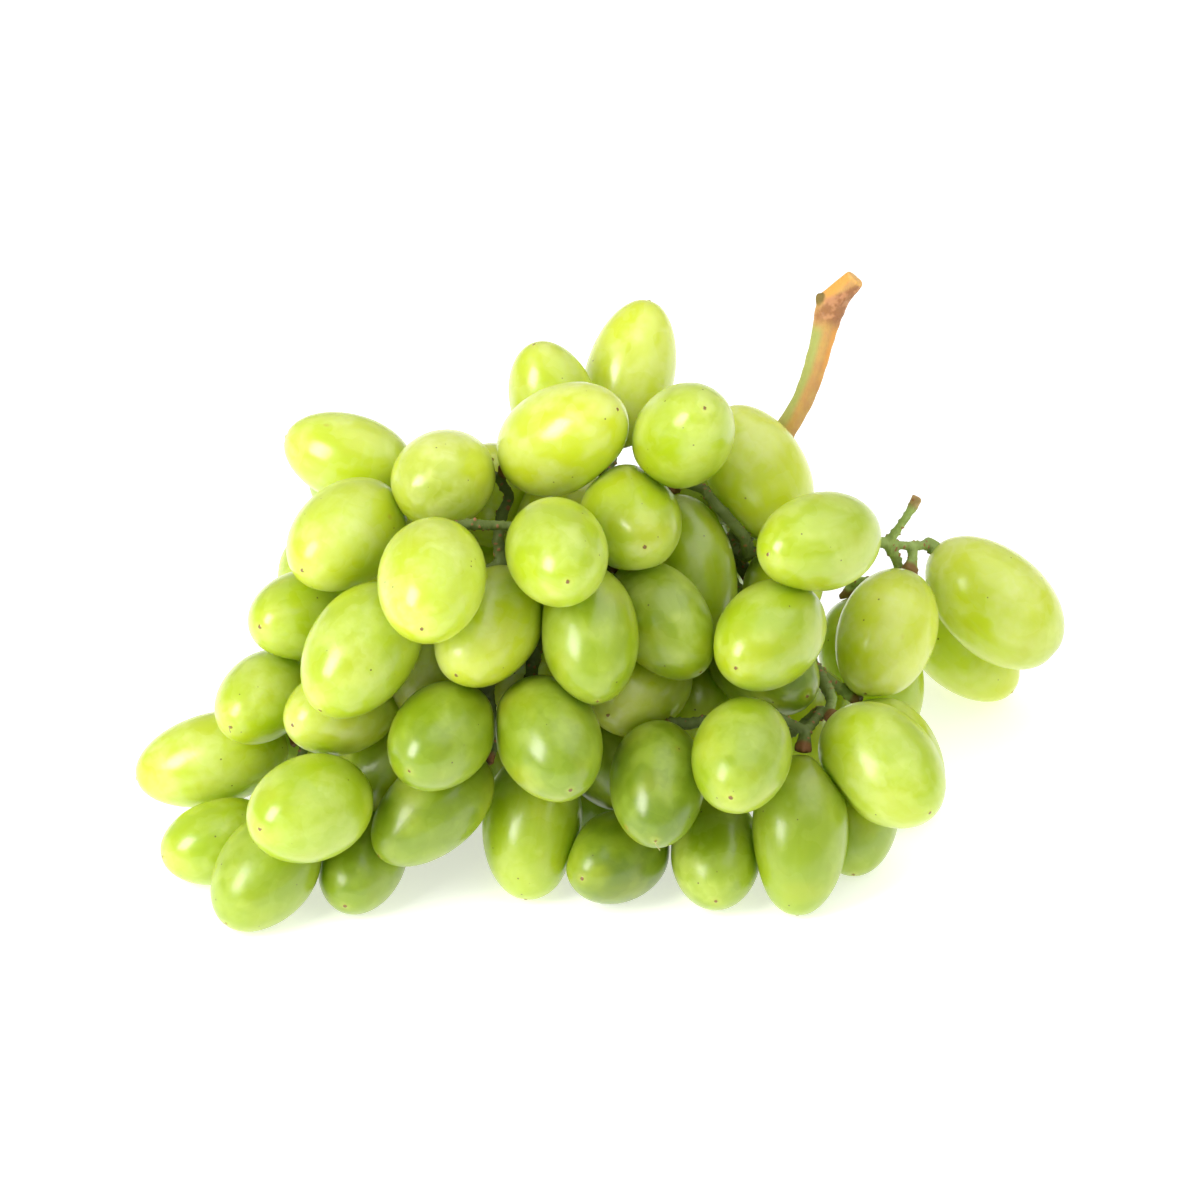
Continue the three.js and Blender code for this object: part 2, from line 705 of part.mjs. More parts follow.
const numbered = (name, index) => `${name}_${String(index + 1).padStart(2, "0")}`;

addPiece("stalk", stalkGeometry(), STALK_COLOUR, 0.7);
berries
  .filter((berry) => berry.kind === "shown")
  .forEach((berry, index) => {
    addPiece(numbered("berry", index), geometryOf(berrySolid(berry)), BERRY_COLOUR, 0.3);
  });
clumps.forEach((clump, index) => {
  const geometry = geometryOf(joined(clump.map(berrySolid)));
  addPiece(numbered("berries", index), geometry, SHADED_BERRY_COLOUR, 0.32);
});

// The middle of the bunch is brought over the origin.
const middle = new THREE.Box3().setFromObject(bunch).getCenter(vec(0, 0, 0));
bunch.children.forEach((mesh) => mesh.geometry.translate(-middle.x, -middle.y, 0));

export default bunch;
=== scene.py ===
"""The looks of a bunch of white table grapes, laid on its side with its cut stalk standing up.

Everything is in metres, +Z up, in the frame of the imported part. Each berry is measured from its
faceted solid and built again as a smooth berry, pressed flat where it meets its neighbours. The
stalk is built again as rough green wood. A pale floor, soft lights and a long lens show them.
"""

import logging
import math
from collections.abc import Iterable, Sequence
from dataclasses import dataclass, field
from enum import Enum
from typing import ClassVar

import bmesh
import bpy
import numpy as np
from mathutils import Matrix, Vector, noise


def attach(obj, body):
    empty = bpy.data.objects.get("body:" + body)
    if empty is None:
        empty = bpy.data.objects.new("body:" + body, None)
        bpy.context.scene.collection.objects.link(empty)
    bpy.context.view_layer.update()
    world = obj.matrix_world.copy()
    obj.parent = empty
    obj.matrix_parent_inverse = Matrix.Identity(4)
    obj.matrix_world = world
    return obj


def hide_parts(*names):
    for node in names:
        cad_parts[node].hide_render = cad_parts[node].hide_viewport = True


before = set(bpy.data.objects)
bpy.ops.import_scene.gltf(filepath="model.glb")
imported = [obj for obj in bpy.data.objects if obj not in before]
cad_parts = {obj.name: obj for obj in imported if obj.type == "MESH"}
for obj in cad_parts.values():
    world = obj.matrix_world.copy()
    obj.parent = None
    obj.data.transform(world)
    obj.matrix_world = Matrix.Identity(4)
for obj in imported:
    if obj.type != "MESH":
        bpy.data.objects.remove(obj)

LOG = logging.getLogger("grapes")
BODY = "root"
MM = 0.001
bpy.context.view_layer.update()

Array = np.ndarray
Link = bpy.types.NodeSocket
Inputs = dict[str, object]
Span = tuple[float, float]
Triple = tuple[float, float, float]
Colour = tuple[float, ...]
WHITE: Colour = (1.0, 1.0, 1.0, 1.0)


class Slot(str, Enum):
    """The material slots of the part's record."""

    STALK = "stalk"
    SHOWN = "berry_skin"
    SHADED = "shaded_berry_skin"


class Field(str, Enum):
    """The values that the meshes carry for their finishes."""

    SKIN = "skin_place"  # place on a berry in mm, from its tip
    DRAW = "berry_draw"  # a number from 0 to 1 for each berry
    TONE = "berry_tone"  # from dark olive at 0 to light yellow at 1: partly the berry's own colour, partly painted light and shade
    BLOOM = "berry_bloom"  # how much wax is left on a berry, with more laid on the side that faces the window and up as a painted sheen
    STALK_END_SHADE = "stalk_end"  # 1 at the stalk end of a berry, 0 further on: a darker, greener colour there, partly the berry's own and partly painted shade where the stalk end turns into the bunch
    WOOD = "stem_wood"  # from green at 0 to brown at 1
    FREE_END = "stem_free"  # the part of the stalk that stands free of the berries
    GREEN_SIDE = "stem_green"  # the green streak of the stalk
    SUN_SIDE = "stem_sun"  # the orange side of the stalk
    JOINT = "stem_joint"  # the swollen joint under the cut
    WARTS = "stem_warts"  # the warts of the young stems
    INNER = "stem_inner"  # the stems inside the bunch, coloured darker as painted shade
    BUD = "stem_bud"  # the bud under the joint
    CUT = "stem_cut"  # the face of the cut


class Tone(Enum):
    """How a berry is coloured: its tone, which is partly its own colour and partly painted light and
    shade, and the wax left on it.
    """

    SUNLIT = (1.0, 0.60)
    LIT = (0.90, 0.58)
    BRIGHT = (0.78, 0.56)
    FRESH = (0.64, 0.52)
    GREEN = (0.50, 0.48)
    OLIVE = (0.30, 0.42)
    MOSS = (0.20, 0.38)
    DEEP = (0.10, 0.34)
    DARK = (0.0, 0.32)
    WAXY = (0.28, 0.68)


def numbered(name: str, numbers: Iterable[int]) -> list[str]:
    """Names with a two-digit number, such as berry_07."""
    return [f"{name}_{number:02d}" for number in numbers]


# The listed tones are partly each berry's own colour and partly painted light and shade: a berry that
# falls into shade is given a lighter tone, a brightly lit one a darker tone.
TONES: dict[Tone, list[str]] = {
    Tone.SUNLIT: numbered("berry", (2, 5, 7, 9, 14, 15)) + numbered("berries", (4, 7)),
    Tone.LIT: numbered("berry", (16,)),
    Tone.BRIGHT: numbered("berry", (1, 3, 4, 6, 23, 24, 28, 31)),
    Tone.FRESH: numbered("berry", (8, 10, 11, 13, 17, 18, 25, 26, 27)),
    Tone.GREEN: numbered("berry", (12, 19, 32, 33, 37)),
    Tone.OLIVE: numbered("berry", (22, 34, 39, 42, 43)) + numbered("berries", (1,)),
    Tone.MOSS: numbered("berry", (29, 30, 35, 36)),
    Tone.DEEP: numbered("berry", (20, 38)),
    Tone.DARK: numbered("berry", (40,)) + numbered("berries", (8,)),
    Tone.WAXY: numbered("berry", (21, 41)),
}
STYLED = numbered("berry", (27, 38))  # the berries whose flower left a thread on the tip
BALL_PLACES = (-1.0, -0.55, 0.0, 0.55, 1.0)  # where balls stand in a berry, from end to end


# ---- berries as measured
@dataclass
class Berry:
    """One berry, in millimetres."""

    node: str  # name of the CAD node that holds it
    middle: Array  # the middle of its axis
    tip: Array  # unit vector from its stalk end to its tip
    length: float  # from end to end
    girth: float  # the widest thickness
    tone: Tone = Tone.GREEN  # how its skin is coloured
    draw: float = 0.0  # its own number from 0 to 1

    def stalk_end(self) -> Array:
        """The point where the pedicel meets the berry."""
        return self.middle - self.tip * (self.length / 2)

    def balls(self) -> list[tuple[Array, float]]:
        """The row of balls that stands for the berry where it touches others.

        Returns:
            The middle and the radius of each ball.
        """
        long, wide = self.length / 2, self.girth / 2
        spread = (long * long - wide * wide) / long
        row = []
        for share in BALL_PLACES:
            radius = wide * math.sqrt(1 - share * share * spread / long)
            slimming = 1 - BerryGauge.egg / 2 * share
            row.append((self.middle + self.tip * share * spread, radius * slimming))
        return row


@dataclass(frozen=True)
class BerryGauge:
    """Measures the berries of a CAD node from the corners of its faceted solid.

    A corner lies on the egg shape of its berry, or inside it where the berry is pressed. The
    measure is the egg shape that holds all corners of a berry and meets the most of them.
    Lengths are in millimetres.
    """

    egg: ClassVar[float] = 0.1  # how much slimmer a berry is at its tip than at its stalk end
    crease: float = 28.0  # the angle of the hollow edges at which joined berries part, in degrees
    weld: float = 0.002  # distance within which corners are one
    least_area: float = 60.0  # the smallest patch that is a berry, in square millimetres
    past_end: float = 1.2  # how far the slimming goes on past an end, in half lengths
    ends: int = 5  # how many corners are tried as the ends of a berry
    span: Span = (14.0, 32.0)  # least and greatest distance of such ends
    usual: Span = (24.0, 17.5)  # length and thickness of a first guess
    usual_half: float = 13.0  # half the length of a guess that is laid along a patch
    least: Span = (22.0, 14.5)  # least length and thickness
    most: Span = (32.0, 21.5)  # greatest length and thickness
    rounds: int = 36  # steps of each search
    nudge: float = 1e-4  # how far a number is moved to see what it changes
    # what keeps a step short, for each of the eight numbers of a guess
    hold: tuple[float, ...] = (1e-4, 1e-4, 1e-4, 5e-3, 5e-3, 5e-3, 1e-4, 1e-4)
    blur: float = 0.002  # share of a berry's size within which corners weigh alike
    first_blur: float = 10.0  # how many times that blur a search starts with
    outside: float = 3.0  # how much more a corner weighs outside the shape
    longest: float = 2.0  # the longest step
    close: float = 0.0015  # share of a berry's size within which a corner lies on its shape
    fault: float = 30.0  # how many met corners an excess of a whole size undoes
    enough: float = 0.45  # share of the corners on the shape at which a search is over

    def patches(self, mesh: bpy.types.Mesh) -> list[tuple[Array, Array]]:
        """Parts a solid at its hollow edges.

        Args:
            mesh: the mesh of a CAD node.

        Returns:
            For each patch, its corners in millimetres and the number of edges at each.
        """
        shape = bmesh.new()
        shape.from_mesh(mesh)
        bmesh.ops.remove_doubles(shape, verts=shape.verts, dist=self.weld * MM)
        bmesh.ops.recalc_face_normals(shape, faces=shape.faces)
        seen: set[int] = set()
        found = []
        for first in shape.faces:
            if first.index in seen:
                continue
            patch = self.patch_from(first, seen)
            if sum(face.calc_area() for face in patch) < self.least_area * MM * MM:
                continue
            corners = {corner.index: corner for face in patch for corner in face.verts}
            places = np.array([corner.co[:] for corner in corners.values()]) / MM
            edges = np.array([len(corner.link_edges) for corner in corners.values()])
            found.append((places, edges))
        shape.free()
        return found

    def patch_from(self, first: bmesh.types.BMFace, seen: set[int]) -> list[bmesh.types.BMFace]:
        """Gathers the faces that are joined to a face by edges that aren't hollow.

        Args:
            first: the face.
            seen: the numbers of the faces that are gathered already, to which it adds its own.

        Returns:
            The faces.
        """
        seen.add(first.index)
        patch, waiting = [], [first]
        while waiting:
            face = waiting.pop()
            patch.append(face)
            for edge in face.edges:
                if edge.calc_face_angle_signed(0.0) < -math.radians(self.crease):
                    continue
                for other in edge.link_faces:
                    if other.index not in seen:
                        seen.add(other.index)
                        waiting.append(other)
        return patch

    def excess(self, guess: Array, places: Array) -> Array:
        """How far places lie outside an egg shape, as a share of its size.

        Args:
            guess: middle, tip, length and girth in one row of eight numbers.
            places: points in millimetres.

        Returns:
            One number for each place, below 0 inside the shape.
        """
        tip = guess[3:6] / np.linalg.norm(guess[3:6])
        away = places - guess[:3]
        along = away @ tip
        aside = np.linalg.norm(away - np.outer(along, tip), axis=1)
        share = along / (guess[6] / 2)
        slimming = 1 - self.egg / 2 * np.clip(share, -self.past_end, self.past_end)
        return np.hypot(share, aside / (guess[7] / 2 * slimming)) - 1

    def starts(self, places: Array, edges: Array) -> list[Array]:
        """First guesses: between the two corners where most edges meet, or along the patch.

        Args:
            places: the corners of a patch.
            edges: the number of edges at each.

        Returns:
            Rows of eight numbers, the likely ones first.
        """
        order = np.argsort(-edges)[: self.ends]
        pairs = [(places[a], places[b]) for a in order for b in order if a != b]
        least, most = self.span
        pairs = [pair for pair in pairs if least < np.linalg.norm(pair[1] - pair[0]) < most]
        centre = places.mean(0)
        for way in np.linalg.svd(places - centre)[2]:
            low, high = centre - self.usual_half * way, centre + self.usual_half * way
            pairs += [(low, high), (high, low)]
        rows = []
        for end, tip in pairs:
            far = np.linalg.norm(tip - end)
            sizes = [max(far, self.usual[0]), self.usual[1]]
            rows.append(np.concatenate([(end + tip) / 2, (tip - end) / far, sizes]))
        return rows

    def search(self, guess: Array, places: Array) -> Array:
        """Betters a guess by weighted least squares, where near corners weigh the most.

        Args:
            guess: a row of eight numbers.
            places: the corners of a patch.

        Returns:
            The bettered row.
        """
        hold = np.diag(self.hold)
        nudges = self.nudge * np.eye(len(self.hold))
        for turn in range(self.rounds):
            off = self.excess(guess, places)
            weight = 1 / (np.abs(off) + self.blur * max(1.0, self.first_blur - turn / 2))
            weight = np.where(off > 0, weight * self.outside, weight)
            slopes = [(self.excess(guess + row, places) - off) / self.nudge for row in nudges]
            slope = np.stack(slopes, axis=1)
            pull = slope.T @ (weight[:, None] * slope) + hold
            step = np.linalg.solve(pull, -slope.T @ (weight * off))
            guess = guess + np.clip(step, -self.longest, self.longest)
            guess[3:6] /= np.linalg.norm(guess[3:6])
            guess[6:] = np.clip(guess[6:], self.least, self.most)
        return guess

    def measure(self, node: str, mesh: bpy.types.Mesh) -> list[Berry]:
        """Finds every berry of a CAD node.

        Args:
            node: name of the node.
            mesh: its mesh.

        Returns:
            Its berries, with no tone yet.
        """
        berries = []
        for places, edges in self.patches(mesh):
            best, most = None, -math.inf
            for start in self.starts(places, edges):
                guess = self.search(start, places)
                off = self.excess(guess, places)
                met = (np.abs(off) < self.close).sum()
                score = met - self.fault * np.clip(off, 0, None).sum()
                if score > most:
                    best, most = guess, score
                if met > self.enough * len(places):
                    break
            berries.append(Berry(node, best[:3], best[3:6], float(best[6]), float(best[7])))
        return berries


# ---- meshes
@dataclass
class MeshParts:
    """Points, faces and carried values of a mesh that is put together in steps."""

    points: list[Array] = field(default_factory=list)  # arrays of points, in metres
    faces: list[tuple[int, ...]] = field(default_factory=list)  # faces as rows of point numbers
    # for each field, the arrays of its values
    values: dict[Field, list[Array]] = field(default_factory=dict)
    count: int = 0  # the number of points so far

    def add(self, points: Array, faces: list[tuple[int, ...]], values: dict[Field, Array]) -> None:
        """Adds one closed body.

        Args:
            points: its points in metres.
            faces: its faces, numbered from its own first point.
            values: its carried values, one row a point.
        """
        self.points.append(points)
        self.faces.extend(tuple(corner + self.count for corner in face) for face in faces)
        for name, rows in values.items():
            self.values.setdefault(name, []).append(rows)
        self.count += len(points)

    def build(self, name: str) -> bpy.types.Object:
        """Makes the smooth-shaded object.

        Args:
            name: its name.

        Returns:
            The object, linked to the scene.
        """
        mesh = bpy.data.meshes.new(name)
        mesh.from_pydata(np.concatenate(self.points).tolist(), [], self.faces)
        for key, rows in self.values.items():
            carry(mesh, key, np.concatenate(rows))
        return smooth_piece(name, mesh)


def show(name: str, data: bpy.types.ID) -> bpy.types.Object:
    """Makes an object and links it to the scene.

    Args:
        name: its name.
        data: its mesh, light or camera.

    Returns:
        The object.
    """
    made = bpy.data.objects.new(name, data)
    bpy.context.scene.collection.objects.link(made)
    return made


def aim(made: bpy.types.Object, target: Vector, way: Vector, far: float) -> None:
    """Moves a light or a camera away from a target and turns it to it.

    Args:
        made: the light or the camera.
        target: the target.
        way: unit vector from the target to its place.
        far: its distance in metres.
    """
    made.location = target + way * far
    made.rotation_euler = (-way).to_track_quat("-Z", "Y").to_euler()


def smooth_piece(name: str, mesh: bpy.types.Mesh) -> bpy.types.Object:
    """Makes a smooth-shaded object of a mesh.

    Args:
        name: the object's name.
        mesh: its mesh.

    Returns:
        The object.
    """
    mesh.polygons.foreach_set("use_smooth", [True] * len(mesh.polygons))
    mesh.update()
    return show(name, mesh)


def tube_faces(rings: int, sides: int) -> list[tuple[int, ...]]:
    """The faces of a closed tube: bands of squares, and a fan at both ends.

    Args:
        rings: the number of rings, whose points come first, ring by ring.
        sides: the number of points in a ring; the two middle points of the fans come last.

    Returns:
        The faces, turned outwards.
    """
    first_pole, last_pole, last = rings * sides, rings * sides + 1, (rings - 1) * sides
    faces: list[tuple[int, ...]] = []
    for side in range(sides):
        after = (side + 1) % sides
        faces.append((first_pole, after, side))
        for low in range(0, last, sides):
            high = low + sides
            faces.append((low + side, low + after, high + after, high + side))
        faces.append((last + side, last + after, last_pole))
    return faces


def read_rows(mesh: bpy.types.Mesh, what: str) -> Array:
    """Reads three numbers for each point of a mesh.

    Args:
        mesh: the mesh.
        what: "co" for the places, "normal" for the ways that the points face.

    Returns:
        One row a point.
    """
    rows = np.empty(len(mesh.vertices) * 3)
    mesh.vertices.foreach_get(what, rows)
    return rows.reshape(-1, 3)


def turned_to(way: Array) -> Array:
    """The matrix that turns rows of places from +Z to a way."""
    return np.array(Vector((0, 0, 1)).rotation_difference(Vector(way)).to_matrix()).T


def carry(mesh: bpy.types.Mesh, key: Field, rows: Array) -> None:
    """Stores one value for each point of a mesh.

    Args:
        mesh: the mesh.
        key: the field.
        rows: numbers, or rows of three numbers.
    """
    kind, part = ("FLOAT_VECTOR", "vector") if rows.ndim == 2 else ("FLOAT", "value")
    made = mesh.attributes.new(key.value, kind, "POINT")
    made.data.foreach_set(part, np.ascontiguousarray(rows, np.float32).ravel())


def smooth_step(low: float, high: float, value: Array) -> Array:
    """Rises smoothly from 0 at low to 1 at high, or falls where low is above high."""
    share = np.clip((value - low) / (high - low), 0, 1)
    return share * share * (3 - 2 * share)


def adopt(piece: bpy.types.Object, node: str, finish: bpy.types.Material) -> None:
    """Lets a piece stand for a CAD node.

    Args:
        piece: the piece.
        node: the node that it replaces.
        finish: its material.
    """
    piece.data.materials.append(finish)
    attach(piece, BODY)
    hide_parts(node)
    LOG.info("%s: %d faces", piece.name, len(piece.data.polygons))


# ---- berries as built
@dataclass
class BerryBuilder:
    """Builds smooth berries that are pressed flat against each other and the floor.

    Lengths are in millimetres. A span says from where to where something fades in.
    """

    berries: list[Berry]  # all berries of the bunch
    sides: int = 48  # points round a berry
    rings: int = 24  # rings along the middle of a berry
    stalk_rings: tuple[float, ...] = (0.5, 1.1, 1.7, 2.4)  # radii of the rings at the stalk end
    # radii of the rings at the tip
    tip_rings: tuple[float, ...] = (2.6, 1.9, 1.35, 0.95, 0.66, 0.46, 0.34, 0.24, 0.12)
    gap: float = 0.14  # clear space between two berries
    press_within: float = 0.8  # space between two egg shapes within which they press each other
    firmness: float = 30.0  # how sharply a pressed flat ends
    unevenness: float = 0.16  # how deep the skin waves
    wave_count: int = 5  # how many waves cross on a berry
    wave_pitch: float = 1.9  # how close their crests are
    scar_dish: float = 0.12  # depth of the dish round the blossom scar
    scar_dish_radius: float = 1.25
    scar_button: float = 0.16  # height of the scar in it
    scar_edge: Span = (0.5, 0.26)  # the span of its rim
    scar_pit: float = 0.12  # depth of the pit in the scar
    pit_edge: Span = (0.2, 0.05)  # the span of its rim
    stalk_dish: float = 0.25  # depth of the dish at the stalk end
    stalk_dish_radius: float = 1.9
    stalk_end_shade: Span = (14.0, 0.5)  # the span of the darker colour at the stalk end, partly its own and partly painted shade
    thread: float = 1.7  # length of the dry thread on a styled tip
    thread_sides: int = 8
    thread_rings: int = 7
    thread_radius: float = 0.15
    thread_head: float = 0.07  # how much thicker it is near its end
    thread_taper: float = 0.6  # the share of its thickness that it loses on the way
    thread_lean: Triple = (0.55, -0.35, 1.0)  # which way its end points
    thread_bend: Triple = (1.6, 2.0, 1.0)  # how late it turns that way
    thread_ends: Span = (-0.1, 0.08)  # how far its foot and its end stand past its rings
    thread_place: Triple = (0.05, 0.0, 0.0)  # the place on the skin whose colour it has
    painted_sheen_side: Triple = (-0.35, -0.45, 0.82)  # the way that the side with a painted sheen faces, toward the window and up, where more pale wax is laid
    painted_sheen_edge: Span = (-0.7, 0.9)  # the span of that side, in radii from the middle
    wax_least: float = 0.6  # the share of its wax on a berry's other side
    painted_sheen_wax: float = 0.75  # the pale wax that the painted sheen adds on that side

    def flats(self, berry: Berry) -> list[tuple[Array, float]]:
        """The planes in which a berry is pressed.

        Args:
            berry: the berry.

        Returns:
            For each plane, the way to it from the berry's middle and its distance.
        """
        found = [(np.array([0.0, 0.0, -1.0]), max(berry.middle[2], 1.0))]
        for other in self.berries:
            far = np.linalg.norm(other.middle - berry.middle)
            if other is berry or far > (berry.length + other.length) / 2:
                continue
            nearest = None
            for place, radius in berry.balls():
                for mate, mate_radius in other.balls():
                    way = mate - place
                    space = float(np.linalg.norm(way)) - radius - mate_radius
                    if nearest is None or space < nearest[0]:
                        nearest = (space, place, way / np.linalg.norm(way), radius)
            space, place, way, radius = nearest
            if space > self.press_within:
                continue
            meeting = place + way * (radius + space / 2) - berry.middle
            found.append((way, float(meeting @ way) - self.gap / 2))
        return found

    def turns(self, berry: Berry) -> Array:
        """The angles of the rings, from near 0 at the stalk end to near pi at the tip.

        Args:
            berry: the berry.

        Returns:
            The angles, closer together round the scar and the stalk end.
        """
        wide = berry.girth / 2
        at_stalk = np.arcsin(np.array(self.stalk_rings) / wide)
        at_tip = np.pi - np.arcsin(np.array(self.tip_rings) / wide)
        between = np.linspace(at_stalk[-1], at_tip[0], self.rings + 2)[1:-1]
        return np.concatenate([at_stalk, between, at_tip])

    def waves(self, berry: Berry, ways: Array) -> Array:
        """How far the skin sinks below the egg shape.

        Args:
            berry: the berry, which has waves of its own.
            ways: unit vectors from its middle.

        Returns:
            Depths from 0 to about the unevenness.
        """
        draw = np.random.default_rng(int(berry.draw * 1e6))
        depth = np.zeros(len(ways))
        for _ in range(self.wave_count):
            crest = draw.normal(size=3) * self.wave_pitch
            depth += 0.5 + 0.5 * np.sin(ways @ crest + draw.uniform(0, 6.3))
        return depth / self.wave_count * self.unevenness

    def profile(self, berry: Berry, turns: Array) -> tuple[Array, Array]:
        """The outline of a berry, with the dishes at its ends and the scar.

        Args:
            berry: the berry.
            turns: the angles of its rings.

        Returns:
            The radius of each ring, and its height over the berry's middle.
        """
        radius = berry.girth / 2 * np.sin(turns) * (1 + BerryGauge.egg / 2 * np.cos(turns))
        height = -berry.length / 2 * np.cos(turns)
        dish = self.scar_dish * np.exp(-((radius / self.scar_dish_radius) ** 2))
        button = self.scar_button * smooth_step(*self.scar_edge, radius)
        pit = self.scar_pit * smooth_step(*self.pit_edge, radius)
        sunk = self.stalk_dish * np.exp(-((radius / self.stalk_dish_radius) ** 2))
        return radius, height + np.where(turns > np.pi / 2, button - dish - pit, sunk)

    def outline(self, berry: Berry) -> Array:
        """The points of a berry before it is pressed, its stalk end below.

        Args:
            berry: the berry.

        Returns:
            The rings, then the middle of the stalk end and that of the tip.
        """
        around = np.linspace(0, 2 * np.pi, self.sides, endpoint=False)
        radius, height = self.profile(berry, self.turns(berry))
        flat = [np.outer(radius, np.cos(around)), np.outer(radius, np.sin(around))]
        rings = np.stack([*flat, np.repeat(height[:, None], self.sides, axis=1)], axis=-1)
        low = -berry.length / 2 + self.stalk_dish
        high = berry.length / 2 - self.scar_dish + self.scar_button - self.scar_pit
        return np.concatenate([rings.reshape(-1, 3), [[0, 0, low], [0, 0, high]]])

    def pressed(self, berry: Berry, skin: Array) -> Array:
        """Presses a berry flat where it meets its neighbours and the floor.

        Args:
            berry: the berry.
            skin: its points as seen from its middle.

        Returns:
            Its points in the bunch.
        """
        crowding = np.ones(len(skin))
        for way, reach in self.flats(berry):
            crowding += np.clip(skin @ way / reach, 0, None) ** self.firmness
        skin = berry.middle + skin / (crowding ** (1 / self.firmness))[:, None]
        skin[:, 2] = np.maximum(skin[:, 2], 0)
        return skin

    def body(self, berry: Berry, parts: MeshParts) -> None:
        """Adds the closed skin of a berry.

        Args:
            berry: the berry.
            parts: the mesh that it joins.
        """
        local = self.outline(berry)
        size = np.linalg.norm(local, axis=1, keepdims=True)
        skin = local * (1 - self.waves(berry, local / size)[:, None] / size)
        skin = self.pressed(berry, skin @ turned_to(berry.tip))
        # more pale wax on the side that faces the window and up: a painted sheen
        facing = (skin - berry.middle) @ np.array(self.painted_sheen_side) / (berry.girth / 2)
        wax = self.wax_least + self.painted_sheen_wax * smooth_step(*self.painted_sheen_edge, facing)
        from_stalk = np.linalg.norm(local - local[-2], axis=1)
        values = {
            Field.SKIN: local - np.array([0, 0, berry.length / 2]),
            Field.BLOOM: berry.tone.value[1] * wax,
            Field.STALK_END_SHADE: smooth_step(*self.stalk_end_shade, from_stalk),
        }
        self.add(berry, parts, skin, self.sides, values)

    def style(self, berry: Berry, parts: MeshParts) -> None:
        """Adds the dry thread that a flower left on the tip.

        Args:
            berry: the berry.
            parts: the mesh that it joins.
        """
        sides, steps = self.thread_sides, self.thread_rings
        around = np.linspace(0, 2 * np.pi, sides, endpoint=False)
        rows = []
        for step in range(steps):
            share = step / (steps - 1)
            lean = np.array(self.thread_lean) * share ** np.array(self.thread_bend) * self.thread
            head = self.thread_head if step == steps - 2 else 0
            thick = self.thread_radius * (1 - self.thread_taper * share) + head
            round_it = np.stack([np.cos(around), np.sin(around), np.zeros(sides)], axis=1) * thick
            rows.append(lean + round_it)
        foot, end = self.thread_ends
        local = np.concatenate([*rows, [[0, 0, foot]], [rows[-1].mean(0) + [0, 0, end]]])
        local[:, 2] += berry.length / 2 - self.scar_dish
        count = len(local)
        values = {
            Field.SKIN: np.tile(self.thread_place, (count, 1)),
            Field.BLOOM: np.zeros(count),
            Field.STALK_END_SHADE: np.zeros(count),
        }
        self.add(berry, parts, berry.middle + local @ turned_to(berry.tip), sides, values)

    def add(
        self, berry: Berry, parts: MeshParts, points: Array, sides: int, values: dict[Field, Array]
    ) -> None:
        """Adds a closed tube that has the tone and the draw of its berry.

        Args:
            berry: the berry.
            parts: the mesh that it joins.
            points: its rings and then its two end points, in millimetres.
            sides: points in a ring.
            values: its other carried values.
        """
        count = len(points)
        values[Field.DRAW] = np.full(count, berry.draw)
        values[Field.TONE] = np.full(count, berry.tone.value[0])
        parts.add(points * MM, tube_faces((count - 2) // sides, sides), values)

    def build(self, node: str) -> bpy.types.Object:
        """Builds the piece that stands for a CAD node.

        Args:
            node: the node's name.

        Returns:
            The piece, with no finish yet.
        """
        parts = MeshParts()
        for berry in self.berries:
            if berry.node == node:
                self.body(berry, parts)
                if node in STYLED:
                    self.style(berry, parts)
        return parts.build(f"{node}_skin")


# ---- the stalk
@dataclass(frozen=True)
class StalkZones:
    """Where the kinds of wood lie. Each row holds one number for each point of the stalk."""

    far: Array  # distance from the cut, along the free end, in millimetres
    apart: Array  # distance from the axis of the free end, in millimetres
    side: Array  # -1 on the left of that axis, seen from the front, and 1 on the right
    free: Array  # 1 on the free end
    knob: Array  # 1 on the knobs where berries sit
    bare: Array  # 1 where a berry has dropped off
    bud: Array  # 1 on the bud
    joint: Array  # 1 on the swollen joint
    warts: Array  # 1 on the tops of the warts
    waves: Array  # slow unevenness, from -1 to 1


